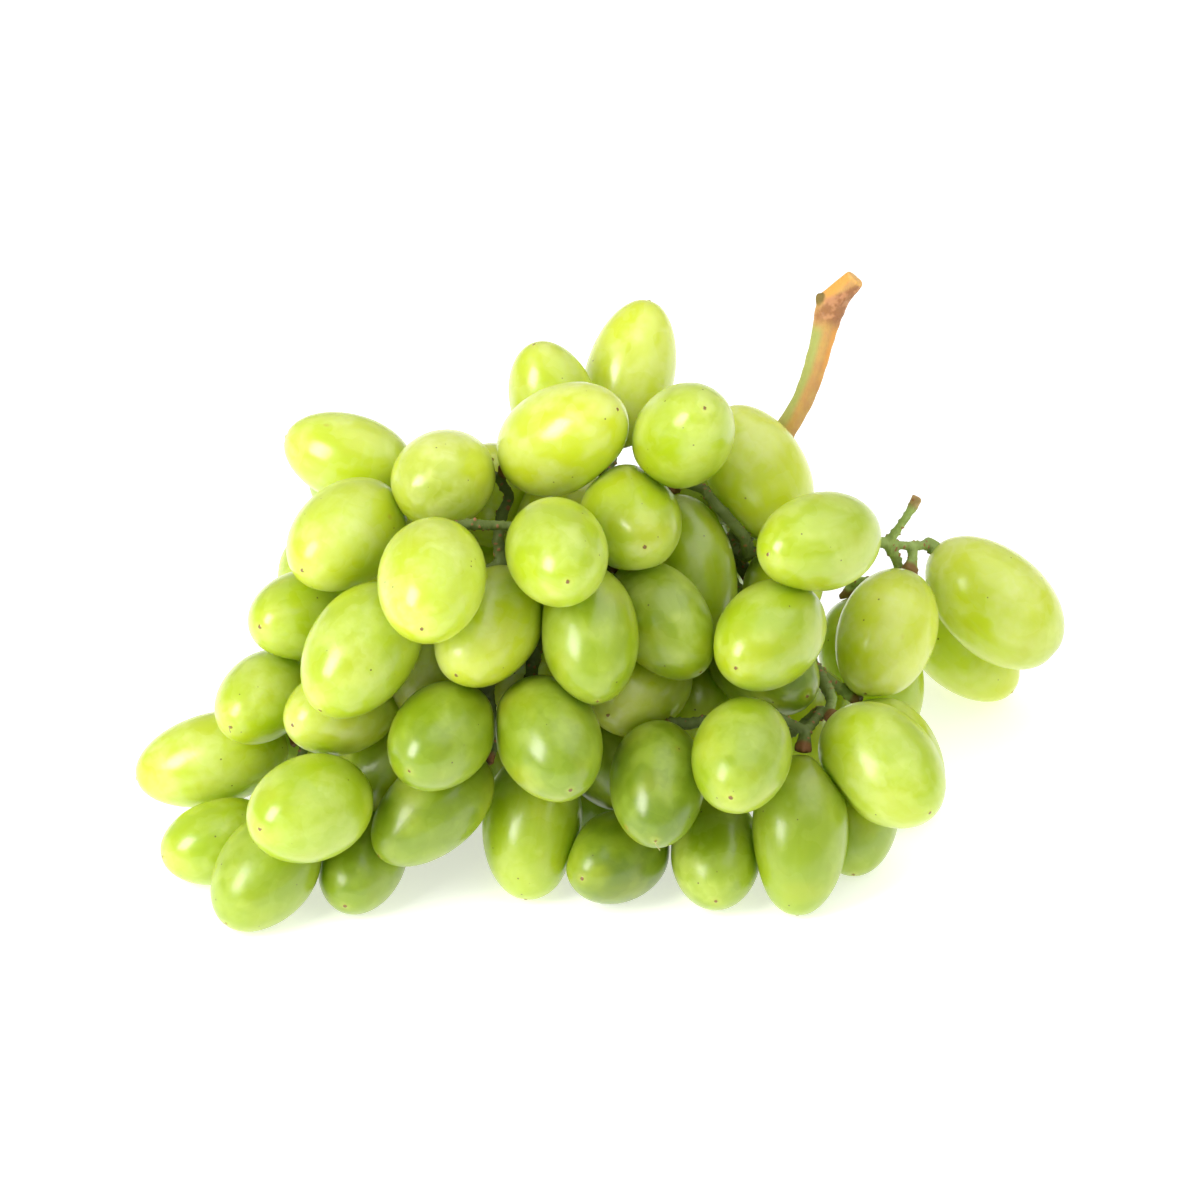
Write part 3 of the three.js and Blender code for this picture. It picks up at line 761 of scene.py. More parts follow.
@dataclass
class StalkBuilder:
    """Builds the branched stalk as rough wood over the CAD stalk.

    Lengths are in millimetres. A span says from where to where something fades in.
    """

    berries: list[Berry]  # all berries, for the knobs where pedicels end
    # the axis of the free end of the stalk, from its cut down
    peduncle: Sequence[Triple] = (
        (47.3, 32.9, 92.3),
        (42.9, 31.4, 88.1),
        (41.6, 29.4, 83.3),
        (39.4, 26.6, 75.6),
        (35.7, 23.8, 67.6),
        (33.8, 22.8, 64.5),
        (31.4, 21.4, 59.5),
    )
    bud: Sequence[Triple] = ((41.4, 30.5, 88.3), (40.3, 30.5, 90.3))  # the foot and the tip of the bud
    bare_end: Triple = (58.9, 28.6, 47.3)  # where a berry has dropped off the stub on the shoulder
    front: Triple = (0.0, -0.848, 0.53)  # the way that the front of the bunch faces
    grain: float = 0.38  # size of the cells in which the solid is rounded
    rounding: int = 6  # how often its points are drawn to their neighbours
    free_reach: float = 4.2  # how far from its axis the wood of the free end lies
    free_span: Span = (38.0, 30.0)  # the span of the free end, from the cut
    knob_span: Span = (3.4, 1.4)  # the span of a knob, from its berry
    bare_span: Span = (2.9, 1.5)  # the span of the bare end
    bud_span: Span = (1.25, 0.8)  # the span of the bud, from its axis
    joint_span: Span = (11.6, 8.8)  # the span of the joint, from the cut
    joint_side: Span = (-0.45, -0.05)  # the span of its edge on the left, which leans
    joint_lean: float = 0.16  # how much that edge leans
    joint_middle: float = 5.0  # where it crosses that side
    bare_knob: float = 0.25  # how much of a knob is left at the bare end
    bare_rose: float = 0.8  # how much the bare end looks like the joint
    free_brown: float = 0.3  # how brown the free end is
    knob_brown: float = 0.9  # how much browner a knob is
    streak_side: Span = (0.15, -0.45)  # the span of the green streak, from right to left
    streak_spans: tuple[Span, ...] = ((10.0, 12.5), (42.0, 26.0))  # its spans from the cut
    high_sun_side: Span = (-0.05, -0.45)  # the span of the upper orange side, from right to left
    high_sun_span: Span = (7.0, 5.0)  # its span from the cut
    low_sun_side: Span = (0.35, 0.8)  # the span of the lower orange side, from left to right
    low_sun_spans: tuple[Span, ...] = ((9.5, 12.0), (24.0, 16.0))  # its spans from the cut
    wart_span: Span = (0.42, 0.1)  # the span of a wart, from its middle, in its own measure
    wart_pitch: float = 0.8  # how close the warts stand
    wave_pitch: float = 0.55  # how close the waves are
    inner_shade_span: Span = (46.0, 41.0)  # the span of the painted shade on the stems inside the bunch, from right to left
    cut_depth: float = 0.4  # how deep the face of the cut reaches
    cut_radius: float = 3.2
    growth: float = 0.15  # how far the rounded wood is thickened again
    wart: float = 0.36  # height of the warts on the young stems
    wave: float = 0.12
    swelling: float = 0.18  # how much the knobs stand out
    hollow: float = 0.1  # how much the bare end sinks
    bud_height: float = 0.12  # how much the bud stands out
    joint_wave: float = 0.25  # how much higher the waves are on the joint
    floor_gap: float = 0.05  # the least height of the wood

    def rounded(self, node: str) -> bpy.types.Mesh:
        """Rounds the faceted solid.

        Args:
            node: name of the CAD node.

        Returns:
            A mesh of small even faces.
        """
        copy = show("stalk_form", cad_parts[node].data.copy())
        remesh = copy.modifiers.new("even", "REMESH")
        remesh.mode = "VOXEL"
        remesh.voxel_size = self.grain * MM
        smooth = copy.modifiers.new("round", "SMOOTH")
        smooth.iterations = self.rounding
        graph = bpy.context.evaluated_depsgraph_get()
        mesh = bpy.data.meshes.new_from_object(copy.evaluated_get(graph))
        bpy.data.objects.remove(copy)
        mesh.materials.clear()
        return mesh

    def along(self, places: Array) -> tuple[Array, Array, Array]:
        """Sets places against the axis of the free end of the stalk.

        Args:
            places: points in millimetres.

        Returns:
            For each place its distance along the axis from the cut, its distance from the
            axis, and its side: -1 on the left, seen from the front, and 1 on the right.
        """
        axis = np.array(self.peduncle)
        best = np.full(len(places), np.inf)
        far, side = np.zeros(len(places)), np.zeros(len(places))
        run = 0.0
        for start, end in zip(axis[:-1], axis[1:], strict=True):
            length = float(np.linalg.norm(end - start))
            way = (end - start) / length
            share = np.clip((places - start) @ way, 0, length)
            away = places - (start + np.outer(share, way))
            apart = np.linalg.norm(away, axis=1)
            right = np.cross(self.front, way)
            nearer = apart < best
            best = np.where(nearer, apart, best)
            far = np.where(nearer, run + share, far)
            side = np.where(nearer, away @ right / np.linalg.norm(right) / (apart + 0.1), side)
            run += length
        return far, best, side

    def near_bud(self, places: Array) -> Array:
        """How far places are from the axis of the bud.

        Args:
            places: points in millimetres.

        Returns:
            Their distances.
        """
        foot, tip = np.array(self.bud)
        way = tip - foot
        share = np.clip((places - foot) @ way / (way @ way), 0, 1)
        return np.linalg.norm(places - foot - np.outer(share, way), axis=1)

    def zones(self, places: Array) -> StalkZones:
        """Finds the kinds of wood.

        Args:
            places: points of the rounded stalk, in millimetres.

        Returns:
            Where each kind lies.
        """
        far, apart, side = self.along(places)
        free = (apart < self.free_reach) * smooth_step(*self.free_span, far)
        bare = smooth_step(*self.bare_span, np.linalg.norm(places - np.array(self.bare_end), axis=1))
        knob = self.bare_knob * bare
        for berry in self.berries:
            near = np.linalg.norm(places - berry.stalk_end(), axis=1)
            knob = np.maximum(knob, smooth_step(*self.knob_span, near))
        spots = [Vector(place) for place in places]
        distances = np.array([noise.voronoi(spot * self.wart_pitch)[0][0] for spot in spots])
        joint = smooth_step(*self.joint_span, far) * free
        joint *= smooth_step(*self.joint_side, side + self.joint_lean * (far - self.joint_middle))
        return StalkZones(
            far=far,
            apart=apart,
            side=side,
            free=free,
            knob=knob,
            bare=bare,
            bud=smooth_step(*self.bud_span, self.near_bud(places)),
            joint=joint,
            warts=smooth_step(*self.wart_span, distances) * (1 - free) * (1 - knob / 2),
            waves=np.array([noise.noise(spot * self.wave_pitch) for spot in spots]),
        )

    def growths(self, zones: StalkZones) -> Array:
        """How far the wood stands out from the rounded solid.

        Args:
            zones: the kinds of wood.

        Returns:
            A height for each point.
        """
        grown = self.growth + self.wart * zones.warts + self.wave * zones.waves
        grown += self.swelling * zones.knob - self.hollow * zones.bare + self.bud_height * zones.bud
        return grown + self.joint_wave * zones.joint * zones.waves

    def dress(self, mesh: bpy.types.Mesh, places: Array, zones: StalkZones) -> None:
        """Stores on the mesh what the finish of the wood needs.

        Args:
            mesh: the mesh.
            places: its points, in millimetres.
            zones: the kinds of wood.
        """
        far, side, free = zones.far, zones.side, zones.free
        streak = smooth_step(*self.streak_side, side)
        for span in self.streak_spans:
            streak *= smooth_step(*span, far)
        high = smooth_step(*self.high_sun_side, side) * smooth_step(*self.high_sun_span, far)
        low = smooth_step(*self.low_sun_side, side)
        for span in self.low_sun_spans:
            low *= smooth_step(*span, far)
        values = {
            Field.SKIN: places,
            Field.WOOD: np.clip(self.free_brown * free + self.knob_brown * zones.knob, 0, 1),
            Field.GREEN_SIDE: streak * free,
            Field.SUN_SIDE: np.clip(high + low, 0, 1) * free,
            Field.JOINT: np.maximum(zones.joint, self.bare_rose * zones.bare),
            Field.WARTS: zones.warts,
            Field.INNER: smooth_step(*self.inner_shade_span, places[:, 0]) * (1 - free),
            Field.BUD: zones.bud,
            Field.CUT: free * (far < self.cut_depth) * (zones.apart < self.cut_radius),
            Field.FREE_END: free,
        }
        for key, rows in values.items():
            carry(mesh, key, rows)

    def build(self, node: str) -> bpy.types.Object:
        """Builds the piece that stands for the CAD stalk.

        Args:
            node: name of the CAD node.

        Returns:
            The piece, with no finish yet.
        """
        mesh = self.rounded(node)
        places = read_rows(mesh, "co") / MM
        zones = self.zones(places)
        places = places + read_rows(mesh, "normal") * self.growths(zones)[:, None]
        places[:, 2] = np.maximum(places[:, 2], self.floor_gap)
        mesh.vertices.foreach_set("co", (places * MM).ravel())
        self.dress(mesh, places, zones)
        return smooth_piece("stalk_wood", mesh)


# ---- shader nodes
@dataclass
class NodePen:
    """Places shader nodes in one tree and links them."""

    tree: bpy.types.NodeTree  # the node tree of a material or a group

    def put(self, kind: str, inputs: Inputs | None = None, **settings: object) -> bpy.types.Node:
        """Places a node.

        Args:
            kind: the node's type.
            inputs: for each input, by name or number, its value or the output that feeds it.
            settings: the node's own options.

        Returns:
            The node.
        """
        node = self.tree.nodes.new(kind)
        for name, value in settings.items():
            setattr(node, name, value)
        for name, value in (inputs or {}).items():
            key = int(name) if name.isdigit() else name
            if isinstance(value, bpy.types.NodeSocket):
                self.tree.links.new(value, node.inputs[key])
            else:
                node.inputs[key].default_value = value
        return node

    def math(self, operation: str, first: object, second: object = 0.0, third: object = 0.0) -> Link:
        """The output of a Math node with this operation and up to three values or links."""
        inputs = {"0": first, "1": second, "2": third}
        return self.put("ShaderNodeMath", inputs, operation=operation).outputs[0]

    def times(self, first: object, second: object) -> Link:
        """The output that multiplies two numbers."""
        return self.math("MULTIPLY", first, second)

    def stretched(self, place: Link, stretch: float) -> Link:
        """The output that makes what is spread over a place this many times longer along Z."""
        inputs = {"0": place, "1": (1.0, 1.0, 1 / stretch)}
        return self.put("ShaderNodeVectorMath", inputs, operation="MULTIPLY").outputs[0]

    def carried(self, key: Field) -> Link:
        """The output that reads a number carried by the mesh."""
        return self.put("ShaderNodeAttribute", attribute_name=key.value).outputs["Fac"]

    def carried_place(self, key: Field) -> Link:
        """The output that reads a place carried by the mesh."""
        return self.put("ShaderNodeAttribute", attribute_name=key.value).outputs["Vector"]

    def blend(self, share: object, base: object, over: object) -> Link:
        """The colour that has a share of the second colour or link over the first."""
        inputs = {"0": share, "6": base, "7": over}
        return self.put("ShaderNodeMix", inputs, data_type="RGBA", clamp_factor=True).outputs[2]

    def lay(self, over: object, base: object, mask: object, share: float) -> Link:
        """The base colour with a share of the other one over it where a mask is 1."""
        return self.blend(self.times(mask, share), base, over)

    def ranged(
        self, value: Link, low: object, high: object, to_low: float = 0.0, to_high: float = 1.0
    ) -> Link:
        """The output that eases a value from the span low to high to the span of the other two."""
        inputs = {"Value": value, "From Min": low, "From Max": high, "To Min": to_low, "To Max": to_high}
        return self.put("ShaderNodeMapRange", inputs, interpolation_type="SMOOTHSTEP").outputs[0]

    def group(self, effect: bpy.types.NodeTree, inputs: Inputs) -> Link:
        """The output of a group node of a shared effect with these values."""
        return self.put("ShaderNodeGroup", inputs, node_tree=effect).outputs[0]

    def surface(self, inputs: Inputs, relief: Link, strength: float, depth: float) -> None:
        """Ends a material with its shader.

        Args:
            inputs: the shader's values and links.
            relief: the heights of its fine relief.
            strength: how strongly the relief shows.
            depth: how deep it is, in metres.
        """
        bump = self.put("ShaderNodeBump", {"Height": relief, "Strength": strength, "Distance": depth})
        shader = self.put("ShaderNodeBsdfPrincipled", {**inputs, "Normal": bump.outputs[0]})
        self.put("ShaderNodeOutputMaterial", {"Surface": shader.outputs[0]})


def start_material(name: str) -> tuple[bpy.types.Material, NodePen]:
    """Starts a material with an empty tree of nodes.

    Args:
        name: its name.

    Returns:
        The material, and the pen of its tree.
    """
    material = bpy.data.materials.new(name)
    material.use_nodes = True
    material.node_tree.nodes.clear()
    return material, NodePen(material.node_tree)


@dataclass
class Effects:
    """The effects that the skin of the berries and the wood of the stalk share."""

    patches: bpy.types.NodeTree = field(init=False)
    grain: bpy.types.NodeTree = field(init=False)

    def __post_init__(self) -> None:
        """Builds each effect once."""
        self.patches = self.build_patches()
        self.grain = self.build_grain()

    @staticmethod
    def start(name: str, output: str, numbers: tuple[str, ...]) -> tuple[NodePen, Inputs, Link]:
        """Starts an effect that takes a place and some numbers.

        Args:
            name: its name.
            output: the name of the number that it gives.
            numbers: the names of the numbers that it takes.

        Returns:
            The pen of its tree, its inputs as links, and the socket that takes its output.
        """
        tree = bpy.data.node_groups.new(name, "ShaderNodeTree")
        tree.interface.new_socket("Place", in_out="INPUT", socket_type="NodeSocketVector")
        for number in numbers:
            tree.interface.new_socket(number, in_out="INPUT", socket_type="NodeSocketFloat")
        tree.interface.new_socket(output, in_out="OUTPUT", socket_type="NodeSocketFloat")
        pen = NodePen(tree)
        given = {socket.name: socket for socket in pen.put("NodeGroupInput").outputs}
        return pen, given, pen.put("NodeGroupOutput").inputs[0]

    def build_patches(self) -> bpy.types.NodeTree:
        """Cloudy patches with an edge that is soft or crisp.

        Returns:
            The effect, 1 in a patch.
        """
        pen, given, out = self.start("cloudy_patches", "Mask", ("Scale", "Edge", "Softness"))
        cloud = {"Vector": given["Place"], "Scale": given["Scale"], "Detail": 2.0}
        haze = pen.put("ShaderNodeTexNoise", cloud).outputs[0]
        low = pen.math("SUBTRACT", given["Edge"], given["Softness"])
        high = pen.math("ADD", given["Edge"], given["Softness"])
        pen.tree.links.new(pen.ranged(haze, low, high), out)
        return pen.tree

    def build_grain(self) -> bpy.types.NodeTree:
        """Fine unevenness of a surface.

        Returns:
            The effect, from 0 to 1.
        """
        pen, given, out = self.start("fine_grain", "Height", ("Scale",))
        cloud = {"Vector": given["Place"], "Scale": given["Scale"], "Detail": 2.0, "Roughness": 0.6}
        pen.tree.links.new(pen.put("ShaderNodeTexNoise", cloud).outputs[0], out)
        return pen.tree

    def spread(self, pen: NodePen, place: Link, scale: float, edge: float, softness: float) -> Link:
        """The mask of cloudy patches: how close they are, how rare, and how soft their edges."""
        inputs = {"Place": place, "Scale": scale, "Edge": edge, "Softness": softness}
        return pen.group(self.patches, inputs)


def srgb(red: int, green: int, blue: int) -> Colour:
    """Turns a colour into a shader's.

    Args:
        red: from 0 to 255.
        green: from 0 to 255.
        blue: from 0 to 255.

    Returns:
        The colour, with full cover.
    """
    parts = [value / 255 for value in (red, green, blue)]
    linear = [part / 12.92 if part <= 0.04045 else ((part + 0.055) / 1.055) ** 2.4 for part in parts]
    return (*linear, 1.0)


# ---- finishes
@dataclass(frozen=True)
class BerrySkinFinish:
    """Thin translucent skin over juicy flesh, with wax, specks and a blossom scar, and with painted
    light and shade in its tones, its sheen and its stalk end.
    """

    name: str = "grape_skin"
    shade: Colour = srgb(112, 135, 16)  # colour of the berries of the lowest tone
    flesh: Colour = srgb(169, 191, 28)  # colour of the middle tone
    sun: Colour = srgb(208, 222, 52)  # colour of the highest tone
    wax: Colour = srgb(228, 238, 162)  # colour of the bloom on sunlit berries
    thin_wax: Colour = srgb(176, 196, 72)  # colour of the bloom on shaded ones
    blush: Colour = srgb(196, 196, 44)  # colour of the warm patches
    speck: Colour = srgb(92, 78, 28)  # colour of the specks and marks
    scuff: Colour = srgb(178, 140, 60)  # colour of the rubbed spots
    scar: Colour = srgb(122, 72, 34)  # colour of the blossom scar
    halo: Colour = srgb(214, 214, 120)  # colour of the ring round it
    # how far light runs in the flesh, in metres, for red, green and blue
    depth: Triple = (0.0160, 0.0180, 0.0045)
    gloss: float = 0.3  # roughness of bare skin
    wax_gloss: float = 0.46  # roughness of waxy skin
    apart: Triple = (370.0, 590.0, 830.0)  # how far the marks of one berry lie from those of the next
    mark_scale: float = 0.26  # how close the specks and the rubbed spots are
    speck_span: Span = (0.064, 0.029)  # from where to where a speck fades in
    scuff_span: Span = (0.28, 0.1)  # the same for a rubbed spot
    speck_odds: float = 0.8  # the share of places for a mark that hold a speck
    scuff_odds: float = 0.03  # the share that hold a rubbed spot
    halo_span: Span = (1.5, 0.5)  # from where to where the halo fades in, in millimetres
    scar_span: Span = (0.44, 0.26)  # the same for the scar

    def marks(self, pen: NodePen, place: Link) -> tuple[Link, Link]:
        """Small specks and a few rubbed spots.

        Args:
            pen: the pen of the material.
            place: places on the skin.

        Returns:
            The masks of the specks and of the spots.
        """
        spread = {"Vector": place, "Scale": self.mark_scale}
        cell = pen.put("ShaderNodeTexVoronoi", spread, feature="F1")
        parts = pen.put("ShaderNodeSeparateColor", {"Color": cell.outputs["Color"]})
        dot = pen.ranged(cell.outputs["Distance"], *self.speck_span)
        spot = pen.ranged(cell.outputs["Distance"], *self.scuff_span)
        dots = pen.times(dot, pen.math("LESS_THAN", parts.outputs[0], self.speck_odds))
        return dots, pen.times(spot, pen.math("LESS_THAN", parts.outputs[1], self.scuff_odds))

    def bloom(self, effects: Effects, pen: NodePen, own: Link, veins_and_sheen: Link) -> Link:
        """The film of wax: wide patches broken by small ones, with dried spots and pale streaks, made
        thicker on the side that faces the window as a painted sheen.

        Args:
            effects: the shared effects.
            pen: the pen of the material.
            own: places on the skin, other ones for each berry.
            veins_and_sheen: the mask of the pale streaks along the berry, partly faint veins and partly
                a painted sheen.

        Returns:
            How thick the film of wax and painted sheen is.
        """
        wide = effects.spread(pen, own, scale=0.11, edge=0.5, softness=0.08)
        small = effects.spread(pen, own, scale=0.42, edge=0.45, softness=0.2)
        film_and_sheen = pen.times(wide, pen.math("MULTIPLY_ADD", small, 0.6, 0.4))
        film_and_sheen = pen.math("MAXIMUM", film_and_sheen, pen.times(veins_and_sheen, 0.3))
        dried = effects.spread(pen, own, scale=0.17, edge=0.52, softness=0.012)
        return pen.times(pen.math("MULTIPLY_ADD", dried, 0.3, film_and_sheen), pen.carried(Field.BLOOM))

    def tip(self, pen: NodePen, place: Link, own: Link, colour: Link) -> Link:
        """Lays the blossom scar and the ring round it over a colour.

        Args:
            pen: the pen of the material.
            place: places on the skin, from its tip.
            own: places on the skin, other ones for each berry.
            colour: the colour of the skin.

        Returns:
            The colour with them.
        """
        from_tip = pen.put("ShaderNodeVectorMath", {"0": place}, operation="LENGTH").outputs["Value"]
        ragged = pen.put("ShaderNodeTexNoise", {"Vector": own, "Scale": 1.6, "Detail": 1.0}).outputs[0]
        from_scar = pen.math("MULTIPLY_ADD", ragged, 0.7, pen.math("SUBTRACT", from_tip, 0.35))
        colour = pen.blend(pen.ranged(from_scar, *self.halo_span, to_high=0.2), colour, self.halo)
        return pen.blend(pen.ranged(from_scar, *self.scar_span, to_high=0.9), colour, self.scar)

    def build(self, effects: Effects) -> bpy.types.Material:
        """Builds the material.

        Args:
            effects: the shared effects.

        Returns:
            The material.
        """
        material, pen = start_material(self.name)
        place = pen.carried_place(Field.SKIN)
        draw = pen.carried(Field.DRAW)
        apart = {axis: pen.times(draw, step) for axis, step in zip("XYZ", self.apart, strict=True)}
        shift = pen.put("ShaderNodeCombineXYZ", apart).outputs[0]
        own = pen.put("ShaderNodeVectorMath", {"0": place, "1": shift}, operation="ADD").outputs[0]
        tone = pen.carried(Field.TONE)
        # the berry's tone: partly its own colour, partly painted light and shade
        colour = pen.blend(pen.ranged(tone, 0.0, 0.5), self.shade, self.flesh)
        colour = pen.blend(pen.ranged(tone, 0.5, 1.0), colour, self.sun)
        # darker and greener towards the stalk end: partly the berry's own colour, partly painted shade
        colour = pen.lay(self.shade, colour, pen.carried(Field.STALK_END_SHADE), share=0.5)
        warm = effects.spread(pen, own, scale=0.09, edge=0.58, softness=0.12)
        colour = pen.lay(self.blush, colour, warm, share=0.28)
        # pale streaks along the berry: partly its faint veins, partly a painted sheen
        veins_and_sheen = effects.spread(pen, pen.stretched(own, 6.25), scale=0.5, edge=0.6, softness=0.14)
        film_and_sheen = self.bloom(effects, pen, own, veins_and_sheen)
        wax = pen.blend(tone, self.thin_wax, self.wax)
        # the pale film over the skin: real wax, with a painted sheen on the side that faces the window
        colour = pen.lay(wax, colour, film_and_sheen, share=0.6)
        dots, rubbed = self.marks(pen, own)
        colour = pen.lay(self.scuff, colour, pen.times(rubbed, veins_and_sheen), share=0.6)
        colour = pen.lay(self.speck, colour, dots, share=0.85)
        bare = pen.ranged(film_and_sheen, 0.0, 0.6, 1.0, 0.8)
        inputs = {
            "Base Color": self.tip(pen, place, own, colour),
            "Roughness": pen.ranged(film_and_sheen, 0.0, 0.8, self.gloss, self.wax_gloss),
            "Subsurface Weight": 0.85,
            "Subsurface Radius": self.depth,
            "Subsurface Scale": 1.0,
            "Subsurface Anisotropy": 0.5,
            "IOR": 1.45,
            "Specular IOR Level": 0.6,
            "Coat Weight": pen.times(bare, pen.math("MULTIPLY_ADD", tone, 0.4, 0.4)),
            "Coat Roughness": 0.22,
            "Coat IOR": 1.6,
        }
        relief = pen.group(effects.grain, {"Place": own, "Scale": 0.45})
        pen.surface(inputs, relief, strength=0.4, depth=0.00016)
        return material


@dataclass(frozen=True)
class GreenWoodFinish:
    """Green young wood that turns brown at its knobs and orange at its old end, with painted shade on
    the stems inside the bunch.
    """

    name: str = "grape_stalk"
    green: Colour = srgb(176, 200, 112)  # colour of the young stems
    dark: Colour = srgb(116, 136, 62)  # colour between their warts
    inner: Colour = srgb(74, 84, 32)  # painted shade on the stems inside the bunch
    brown: Colour = srgb(134, 82, 48)
    wart: Colour = srgb(164, 104, 70)  # colour of the tops of the warts
    bud: Colour = srgb(104, 100, 44)
    tan: Colour = srgb(220, 176, 98)  # colour of the free end
    orange: Colour = srgb(248, 174, 78)  # colour of its sunny side
    rose: Colour = srgb(204, 144, 106)  # colour of its swollen joint
    bark: Colour = srgb(164, 104, 72)  # colour of the darker scales on that joint
    streak: Colour = srgb(172, 190, 104)  # colour of its green side
    cut: Colour = srgb(240, 186, 106)  # colour of the cut face
    depth: Triple = (0.0009, 0.0008, 0.0003)  # how far light runs in the wood, in metres

    def build(self, effects: Effects) -> bpy.types.Material:
        """Builds the material.

        Args:
            effects: the shared effects.

        Returns:
            The material.
        """
        material, pen = start_material(self.name)
        place = pen.carried_place(Field.SKIN)
        mottle = effects.spread(pen, place, scale=0.35, edge=0.5, softness=0.16)
        colour = pen.lay(self.dark, self.green, mottle, share=0.5)
        # the stems inside the bunch are darkened: painted shade
        colour = pen.lay(self.inner, colour, pen.carried(Field.INNER), share=0.75)
        tan = pen.lay(self.rose, self.tan, mottle, share=0.45)
        colour = pen.blend(pen.carried(Field.FREE_END), colour, tan)
        colour = pen.lay(self.orange, colour, pen.carried(Field.SUN_SIDE), share=0.85)
        colour = pen.lay(self.streak, colour, pen.carried(Field.GREEN_SIDE), share=0.8)
        scaly = effects.spread(pen, place, scale=0.55, edge=0.5, softness=0.08)
        rose = pen.blend(scaly, self.rose, self.bark)
        colour = pen.lay(rose, colour, pen.carried(Field.JOINT), share=0.8)
        knobs = pen.ranged(pen.carried(Field.WOOD), 0.3, 0.85)
        colour = pen.lay(self.brown, colour, knobs, share=0.85)
        tops = pen.ranged(pen.carried(Field.WARTS), 0.35, 0.75, 0.0, 0.85)
        colour = pen.blend(tops, colour, self.wart)
        colour = pen.lay(self.bud, colour, pen.carried(Field.BUD), share=0.8)
        inputs = {
            "Base Color": pen.blend(pen.carried(Field.CUT), colour, self.cut),
            "Roughness": pen.ranged(mottle, 0.0, 1.0, 0.5, 0.72),
            "Subsurface Weight": 0.25,
            "Subsurface Radius": self.depth,
            "Subsurface Scale": 1.0,
            "Specular IOR Level": 0.4,
        }
        relief = pen.group(effects.grain, {"Place": pen.stretched(place, 4.0), "Scale": 2.6})
        pen.surface(inputs, relief, strength=0.5, depth=0.00025)
        return material


# ---- the studio
@dataclass(frozen=True)
class SoftLight:
    """A rectangular soft light that faces the bunch."""

    name: str
    way: Triple  # from the bunch to the light
    far: float  # its distance in metres
    size: tuple[float, float]  # its sides in metres
    power: float  # in watts
    colour: Triple = (1.0, 1.0, 1.0)  # red, green and blue

    def build(self, target: Vector) -> None:
        """Makes the light.

        Args:
            target: the point that it faces.
        """
        data = bpy.data.lights.new(self.name, "AREA")
        data.shape = "RECTANGLE"
        data.size, data.size_y = self.size
        data.energy = self.power
        data.color = self.colour
        aim(show(self.name, data), target, Vector(self.way).normalized(), self.far)


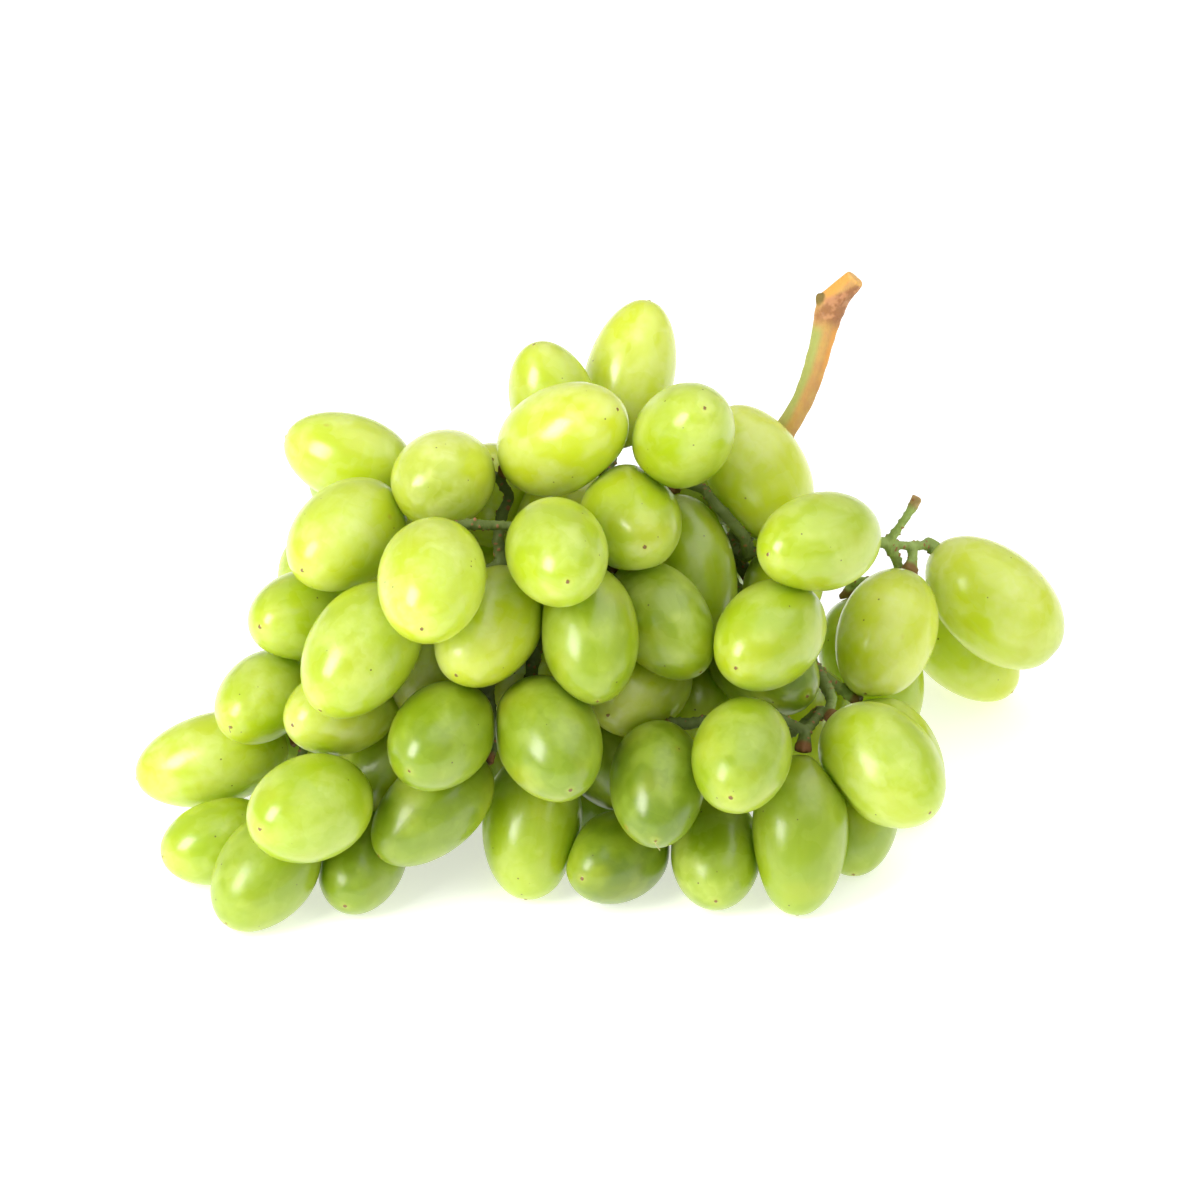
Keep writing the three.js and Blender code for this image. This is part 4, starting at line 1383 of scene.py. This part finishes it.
@dataclass(frozen=True)
class Studio:
    """A plain pale room with soft lights, and the camera."""

    lean: float = 32.0  # how far the camera looks down, in degrees
    target: Triple = (-0.000177, -0.016541, 0.05279)  # the middle of the view, in metres
    across: float = 0.222  # the width of the view at the target, in metres
    lens: float = 900.0  # focal length in millimetres
    floor_size: float = 4.0  # side of the floor in metres
    floor_drop: float = 0.00005  # how far the floor lies under the bunch, in metres
    floor: tuple[float, ...] = (0.86, 0.86, 0.86, 1.0)  # colour of the floor
    glow: float = 0.54  # how much light the floor gives of itself
    sky: float = 0.44  # brightness of the room
    # the soft lights
    lights: tuple[SoftLight, ...] = (
        SoftLight("window", (-0.68, -0.53, 0.52), 0.9, (0.38, 0.54), 6.6, (1.0, 0.99, 0.96)),
        SoftLight("ceiling", (0.42, -0.04, 0.9), 1.0, (1.30, 1.10), 5.6),
    )

    def build(self) -> None:
        """Makes the room, the lights and the camera."""
        self.build_floor()
        self.build_sky()
        target = Vector(self.target)
        for light in self.lights:
            light.build(target)
        self.build_camera(target)
        bpy.context.scene.view_settings.view_transform = "Standard"

    def build_floor(self) -> None:
        """Makes the floor just under the bunch."""
        half = self.floor_size / 2
        mesh = bpy.data.meshes.new("floor")
        corners = [(-half, -half, 0), (half, -half, 0), (half, half, 0), (-half, half, 0)]
        mesh.from_pydata(corners, [], [(0, 1, 2, 3)])
        floor = show("floor", mesh)
        floor.location.z = -self.floor_drop
        material, pen = start_material("pale_floor")
        shader = pen.put("ShaderNodeBsdfPrincipled", {
            "Base Color": self.floor,
            "Roughness": 0.9,
            "Specular IOR Level": 0.1,
            "Emission Color": WHITE,
            "Emission Strength": self.glow,
        })
        pen.put("ShaderNodeOutputMaterial", {"Surface": shader.outputs[0]})
        mesh.materials.append(material)

    def build_sky(self) -> None:
        """Lights the room evenly."""
        world = bpy.data.worlds.new("room")
        world.use_nodes = True
        back = world.node_tree.nodes["Background"]
        back.inputs["Color"].default_value = WHITE
        back.inputs["Strength"].default_value = self.sky
        bpy.context.scene.world = world

    def build_camera(self, target: Vector) -> None:
        """Makes the camera.

        Args:
            target: the middle of the view.
        """
        data = bpy.data.cameras.new("camera")
        data.sensor_width = 36.0
        data.lens = self.lens
        far = self.across * self.lens / data.sensor_width
        lean = math.radians(self.lean)
        way = Vector((0.0, -math.cos(lean), math.sin(lean)))
        data.clip_end = far * 3
        camera = show("camera", data)
        aim(camera, target, way, far)
        bpy.context.scene.camera = camera


# ---- the bunch
def measure_bunch(seed: int) -> list[Berry]:
    """Measures every berry and gives it a tone.

    Args:
        seed: seed of the draws.

    Returns:
        All berries of the bunch.
    """
    gauge = BerryGauge()
    draw = np.random.default_rng(seed)
    named = {name: tone for tone, names in TONES.items() for name in names}
    hidden = [Tone.BRIGHT, Tone.FRESH, Tone.GREEN, Tone.OLIVE]
    berries = []
    for node in sorted(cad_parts):
        if node == "stalk":
            continue
        for berry in gauge.measure(node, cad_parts[node].data):
            berry.tone = named.get(node) or hidden[draw.integers(len(hidden))]
            berry.draw = float(draw.uniform(0.02, 0.98))
            berries.append(berry)
    LOG.info("%d berries measured", len(berries))
    return berries


def main() -> None:
    """Builds the bunch and the room round it."""
    logging.basicConfig(level=logging.INFO, format="%(name)s: %(message)s")
    berries = measure_bunch(seed=11)
    effects = Effects()
    skin = BerrySkinFinish().build(effects)
    wood = GreenWoodFinish().build(effects)
    builder = BerryBuilder(berries)
    for node in sorted({berry.node for berry in berries}):
        adopt(builder.build(node), node, skin)
    adopt(StalkBuilder(berries).build("stalk"), "stalk", wood)
    Studio().build()
    bpy.context.view_layer.update()


if __name__ == "__main__":
    main()
